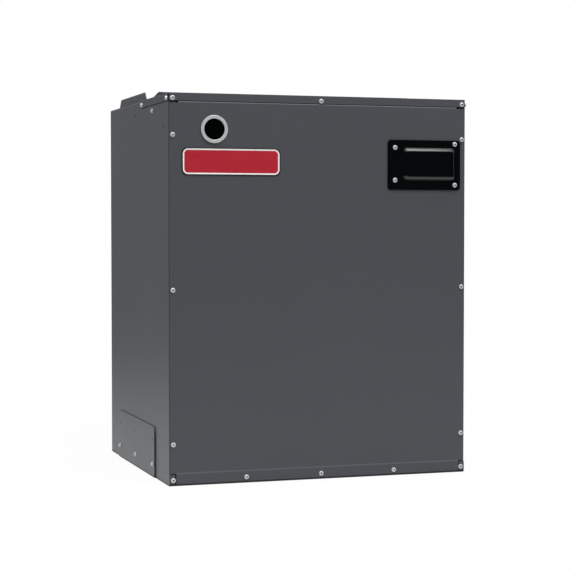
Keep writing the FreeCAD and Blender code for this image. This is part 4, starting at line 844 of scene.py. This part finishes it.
# Rivets of the wheel's hub, and bolts and fins of the motor's module; ring forms in millimetres
RIVET_RINGS = [(1.2, 1.5, False), (2.4, 1.1, False), (3.0, 0.5, False), (3.1, 0.0, False), (1.4, -0.6, False)]
RIVETS = 6
RIVET_CIRCLE = 33.0 * MM
HUB_FLANGE = 2.5 * MM
BOLT_RINGS = [
    (2.2, 3.2, False), (4.0, 3.4, True), (4.4, 3.0, True), (4.4, 0.8, True), (5.6, 0.6, False),
    (5.6, 0.0, False), (2.4, -2.0, False),
]
BOLTS = 4
BOLT_CIRCLE = 54.0 * MM
FIN_RINGS = [(65.4, 2.4, False), (67.6, 2.0, False), (68.0, 1.6, False), (68.0, 0.8, False),
             (67.6, 0.4, False), (65.4, 0.0, False)]
FIN_SEGMENTS = 72
FINS = 6
FIN_PITCH = 7.0 * MM
FIN_START = 6.0 * MM


def add_hub_rivets():
    low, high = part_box("wheel_hub")
    middle = (low + high) / 2
    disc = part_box("wheel_disc")[0].x
    places = []
    for y, z in around(RIVETS, RIVET_CIRCLE):
        places.append(facing((low.x + HUB_FLANGE, middle.y + y, middle.z + z), RIGHT))
        places.append(facing((disc, middle.y + y, middle.z + z), LEFT))
    add_turned("hub_rivets", "wheel", [zinc], RIVET_RINGS, places, FINE_SEGMENTS)


def add_module_fittings():
    low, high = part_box("motor_control_module")
    middle = (low + high) / 2
    spots = around(BOLTS, BOLT_CIRCLE, math.pi / BOLTS)
    places = [facing((low.x, middle.y + y, middle.z + z), LEFT) for y, z in spots]
    add_turned("module_bolts", "cabinet", [zinc], BOLT_RINGS, places)
    made = bmesh.new()
    for index in range(FINS):
        start = low.x + FIN_START + index * FIN_PITCH
        lathe(made, facing((start, middle.y, middle.z), RIGHT), FIN_RINGS, FIN_SEGMENTS, hollow=True)
    piece("module_fins", "cabinet", [module_plastic], made)


# Capacitors and resistors on the board: forms and places (x, z) in millimetres
CAN_RINGS = [
    (2.6, 12.0, False), (3.7, 11.8, False), (4.1, 11.2, False), (4.1, 2.4, False), (3.8, 2.0, False),
    (4.1, 1.6, False), (4.1, 0.3, False), (3.7, 0.0, False),
]
CAN_TOP_RINGS = 3
CAN_SPOTS = ((-214.0, 676.0), (-214.0, 652.0), (-172.0, 678.0))
RESISTOR_RINGS = [
    (0.3, 4.4, False), (0.3, 3.2, False), (1.0, 3.0, False), (1.3, 2.5, False), (1.3, 1.7, False),
    (1.0, 1.4, False), (1.0, -1.4, False), (1.3, -1.7, False), (1.3, -2.5, False), (1.0, -3.0, False),
    (0.3, -3.2, False), (0.3, -4.4, False),
]
RESISTOR_ROWS = (633.5, 639.5)
RESISTOR_COLUMNS = (-254.0, -242.0, -230.0, -218.0)
RESISTOR_LIFT = 1.4 * MM
LEAD_REACH = 4.2 * MM
LEAD_HALF = 0.3 * MM
LEAD_EDGE = 0.08 * MM

# Chip on the board, with a raised dot at its first corner and two rows of bent legs
CHIP_LEFT = -250.0 * MM
CHIP_BOTTOM = 655.5 * MM
CHIP_SIZE = Vector((24.0, 3.4, 9.0)) * MM
CHIP_LIFT = 0.4 * MM
CHIP_EDGE = 0.4 * MM
DOT_RINGS = [(0.5, 0.05, False), (0.9, 0.1, False), (1.1, 0.0, False)]
DOT_ACROSS = 3.0 * MM
DOT_DOWN = 2.5 * MM
LEGS = 8
LEG_PITCH = 2.8 * MM
LEG_START = 2.2 * MM
LEG_HALF = 0.3 * MM
LEG_THICKNESS = 0.3 * MM
LEG_ROOT = 0.2 * MM
LEG_REACH = 1.1 * MM
LEG_HEIGHT = 1.9 * MM
LEG_EDGE = 0.1 * MM


def add_resistors(face, leads):
    """Resistors that stand off the board on their leads."""
    made = bmesh.new()
    half = Vector((LEAD_HALF, LEAD_HALF, LEAD_HALF))
    drop = Vector((0, RESISTOR_LIFT, 0))
    for z in RESISTOR_ROWS:
        for x in RESISTOR_COLUMNS:
            middle = Vector((x * MM, face - RESISTOR_LIFT, z * MM))
            lathe(made, facing(middle, RIGHT), RESISTOR_RINGS, FINE_SEGMENTS)
            for side in (-LEAD_REACH, LEAD_REACH):
                bend = middle + Vector((side, 0, 0))
                block(leads, bend - half, bend + half + drop, LEAD_EDGE)
    piece("board_resistors", "cabinet", [resistor_tan], made)


def add_leg(leads, x, side, way, front, face):
    """A leg that leaves the chip's side, bends and goes back to the board's face."""
    bend = side + way * LEG_REACH
    outer = bend + way * LEG_THICKNESS
    shelf = sorted((side - way * LEG_ROOT, outer))
    foot = sorted((bend, outer))
    block(leads, (x - LEG_HALF, front, shelf[0]), (x + LEG_HALF, front + LEG_THICKNESS, shelf[1]), LEG_EDGE)
    block(leads, (x - LEG_HALF, front, foot[0]), (x + LEG_HALF, face, foot[1]), LEG_EDGE)


def add_chip(face, leads):
    low = Vector((CHIP_LEFT, face - CHIP_SIZE.y - CHIP_LIFT, CHIP_BOTTOM))
    high = low + CHIP_SIZE
    made = bmesh.new()
    block(made, low, high, CHIP_EDGE)
    dot = facing((low.x + DOT_ACROSS, low.y, high.z - DOT_DOWN), FORWARD)
    lathe(made, dot, DOT_RINGS, FINE_SEGMENTS)
    piece("board_chip", "cabinet", [chip_black], made)
    for index in range(LEGS):
        x = low.x + LEG_START + index * LEG_PITCH
        add_leg(leads, x, low.z, -1, high.y - LEG_HEIGHT, face)
        add_leg(leads, x, high.z, 1, high.y - LEG_HEIGHT, face)


def add_board_parts():
    """Parts soldered to the board: capacitors, resistors and a chip, and the leads of the last two."""
    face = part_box("control_board")[0].y
    places = [facing((x * MM, face, z * MM), FORWARD) for x, z in CAN_SPOTS]
    add_turned("board_capacitors", "cabinet", [can_sleeve, zinc], CAN_RINGS, places,
               dark=CAN_TOP_RINGS)
    leads = bmesh.new()
    add_resistors(face, leads)
    add_chip(face, leads)
    piece("board_leads", "cabinet", [zinc], leads)


# Clamp screws on the terminal strip, and pins measured forward from the back of their connector
CLAMP_RINGS = [(0.9, 0.3, False), (1.2, 0.9, False), (2.2, 1.0, False), (2.6, 0.6, False), (2.6, 0.0, False)]
CLAMPS = 4
CLAMP_PITCH = 12.5 * MM
PINS = 5
PIN_PITCH = 5.0 * MM
PIN_HALF = 0.5 * MM
PIN_TIP = 8.0 * MM
PIN_ROOT = 1.0 * MM
PIN_EDGE = 0.15 * MM


def add_clamp_screws():
    low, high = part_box("board_terminals")
    y = (low.y + high.y) / 2
    first = low.x + CLAMP_PITCH / 2
    places = [facing((first + step * CLAMP_PITCH, y, high.z), UP) for step in range(CLAMPS)]
    add_turned("clamp_screws", "cabinet", [zinc], CLAMP_RINGS, places)


def add_connector_pins():
    made = bmesh.new()
    for low, high in loose_boxes("board_connectors"):
        z = (low.z + high.z) / 2
        first = (low.x + high.x) / 2 - (PINS - 1) / 2 * PIN_PITCH
        for step in range(PINS):
            x = first + step * PIN_PITCH
            block(made, (x - PIN_HALF, high.y - PIN_TIP, z - PIN_HALF),
                  (x + PIN_HALF, high.y - PIN_ROOT, z + PIN_HALF), PIN_EDGE)
    piece("connector_pins", "cabinet", [zinc], made)


# Floor, in metres; its paleness and the white it shows change with distance from the middle
WHITE = (1.0, 1.0, 1.0, 1.0)
FLOOR_SIZE = 30.0
FLOOR_DROP = -0.2 * MM
PAPER_NEAR = 0.85
PAPER_FAR = 0.4
PAPER_REACH = (0.5, 1.8)
GLOW_NEAR = 0.94
GLOW_REACH = (0.6, 1.5)
MIRROR_NEAR = 0.95
MIRROR_FAR = 0.12
MIRROR_REACH = (0.6, 3.0)
FOOTPRINT_EDGE = (8 * MM, 4 * MM)

# World: its strength as a lamp and in reflections, by how far a direction points up or back
AMBIENT = 0.4
FRONT_DARK = 0.012
OVERHEAD_REACH = (0.2, 0.8)
BEHIND = 0.2
BEHIND_REACH = (0.2, 1.0)

# Lamps: place and target in metres, width and height in metres, and watts
LAMPS = {
    "overhead": ((0.4, -0.75, 2.9), (0.35, -0.6, 0.4), (1.8, 1.3), 31),
    "key_front": ((0.4, -3.0, 4.2), (0.1, -0.2, 0.5), (2.4, 2.4), 105),
    "key_left": ((-3.2, 0.5, 3.0), (-0.3, 0, 0.5), (1.8, 1.8), 86),
    "right_strip": ((2.45, 0.35, 1.5), (0.25, -0.27, 0.7), (0.5, 1.8), 4),
    "back_right": ((2.2, 2.4, 2.6), (0, 0, 0.4), (1.8, 1.8), 35),
}

# Camera fitted to the cabinet's outline in the photograph, in metres, degrees and lens millimetres
CAMERA_PLACE = (-1.08148, -3.36109, 0.50808)
CAMERA_YAW = 18.1115
CAMERA_PITCH = 2.2064
CAMERA_LENS = 103.049
SENSOR = 36.0


def white_rays(nodes):
    """Whether a ray comes from the camera, and whether it was mirrored or refracted."""
    rays = nodes.add("ShaderNodeLightPath").outputs
    mirrored = nodes.math("MAXIMUM", rays["Is Glossy Ray"], rays["Is Transmission Ray"])
    return rays["Is Camera Ray"], mirrored


def outside_footprint(nodes, place):
    """0 on the floor under the cabinet and 1 round it."""
    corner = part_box("base_pan")[1]
    outside = 0.0
    for name, edge in (("X", corner.x), ("Y", corner.y)):
        across = nodes.math("ABSOLUTE", nodes.split(place)[name])
        past = nodes.span(across, edge - FOOTPRINT_EDGE[0], edge - FOOTPRINT_EDGE[1])
        outside = nodes.math("MAXIMUM", outside, past)
    return outside


def floor_paper():
    """Matt paper that shows white to the camera and fades with distance in reflections."""
    paper = bpy.data.materials.new("floor_paper")
    paper.use_nodes = True
    paper.node_tree.nodes.clear()
    nodes = Nodes(paper.node_tree)
    seen, mirrored = white_rays(nodes)
    place = nodes.add("ShaderNodeTexCoord").outputs["Object"]
    length = nodes.add("ShaderNodeVectorMath", operation="LENGTH")
    nodes.put(length.inputs[0], place)
    away = length.outputs["Value"]
    seen_glow = nodes.math("MULTIPLY", seen, nodes.span(away, *GLOW_REACH, GLOW_NEAR, 1.0))
    glowing = nodes.math("MAXIMUM", seen_glow, mirrored)
    share = nodes.math("MULTIPLY", outside_footprint(nodes, place), glowing)
    dimming = nodes.span(away, *MIRROR_REACH, 1.0 - MIRROR_NEAR, 1.0 - MIRROR_FAR)
    strength = nodes.math("SUBTRACT", 1.0, nodes.math("MULTIPLY", mirrored, dimming))
    paleness = nodes.span(away, *PAPER_REACH, PAPER_NEAR, PAPER_FAR)
    matt = nodes.feed(nodes.add("ShaderNodeBsdfDiffuse"), Color=paleness)
    glow = nodes.feed(nodes.add("ShaderNodeEmission"), Color=WHITE, Strength=strength)
    mixed = nodes.feed(nodes.add("ShaderNodeMixShader"), Fac=share)
    nodes.put(mixed.inputs[1], matt.outputs[0])
    nodes.put(mixed.inputs[2], glow.outputs[0])
    nodes.feed(nodes.add("ShaderNodeOutputMaterial"), Surface=mixed.outputs[0])
    return paper


def add_floor():
    half = FLOOR_SIZE / 2
    corners = [(x * half, y * half, FLOOR_DROP) for x, y in ((-1, -1), (1, -1), (1, 1), (-1, 1))]
    mesh = bpy.data.meshes.new("floor")
    mesh.from_pydata(corners, [], [(0, 1, 2, 3)])
    mesh.materials.append(floor_paper())
    floor = bpy.data.objects.new("floor", mesh)
    bpy.context.scene.collection.objects.link(floor)


def add_world():
    """White to the camera; in reflections white overhead, pale behind and dim on the viewer's side."""
    world = bpy.data.worlds.new("studio")
    bpy.context.scene.world = world
    world.use_nodes = True
    world.node_tree.nodes.clear()
    nodes = Nodes(world.node_tree)
    seen, mirrored = white_rays(nodes)
    way = nodes.split(nodes.add("ShaderNodeTexCoord").outputs["Generated"])
    overhead = nodes.span(way["Z"], *OVERHEAD_REACH, FRONT_DARK, 1.0)
    behind = nodes.span(way["Y"], *BEHIND_REACH, 0.0, BEHIND)
    reflected = nodes.math("MULTIPLY", mirrored, nodes.math("MAXIMUM", overhead, behind))
    ambient = nodes.math("MULTIPLY", nodes.math("SUBTRACT", 1.0, mirrored), AMBIENT)
    strength = nodes.math("MAXIMUM", seen, nodes.math("ADD", reflected, ambient))
    background = nodes.feed(nodes.add("ShaderNodeBackground"), Color=WHITE, Strength=strength)
    nodes.feed(nodes.add("ShaderNodeOutputWorld"), Surface=background.outputs[0])


def add_lamp(name, place, target, size, power):
    data = bpy.data.lights.new(name, "AREA")
    data.shape = "RECTANGLE"
    data.size, data.size_y = size
    data.energy = power
    lamp = bpy.data.objects.new(name, data)
    lamp.location = place
    lamp.rotation_euler = (Vector(target) - Vector(place)).to_track_quat("-Z", "Y").to_euler()
    bpy.context.scene.collection.objects.link(lamp)


def add_camera():
    data = bpy.data.cameras.new("camera")
    data.sensor_width = SENSOR
    data.lens = CAMERA_LENS
    camera = bpy.data.objects.new("camera", data)
    camera.location = CAMERA_PLACE
    camera.rotation_euler = (math.radians(90 - CAMERA_PITCH), 0, math.radians(-CAMERA_YAW))
    bpy.context.scene.collection.objects.link(camera)
    bpy.context.scene.camera = camera


# Finishes that several pieces share
zinc = zinc_plate()
zinc_sheet = galvanised_sheet()
# Painted shade in the recesses of the screw heads
recess_shade = enamel("recess_shade", linear(74, 74, 75), 0.6)
chip_black = moulded_plastic("relay_black", linear(24, 24, 26), 0.4)
module_plastic = moulded_plastic("module_plastic", linear(22, 23, 25), 0.42, grain=400.0, depth=0.2 * MM)
can_sleeve = moulded_plastic("can_sleeve", linear(26, 34, 66), 0.35, depth=0.05 * MM)
resistor_tan = moulded_plastic("resistor_tan", linear(188, 160, 116), 0.45, depth=0.05 * MM)

# The scene
add_camera()
dress_cabinet()
dress_blower()
dress_controls()
dress_panel_trim()
add_all_screws()
add_wall_plugs()
add_liner_washers()
add_hub_rivets()
add_module_fittings()
add_board_parts()
add_clamp_screws()
add_connector_pins()
add_floor()
add_world()
for lamp_name, settings in LAMPS.items():
    add_lamp(lamp_name, *settings)
bpy.context.scene.view_settings.view_transform = "Standard"
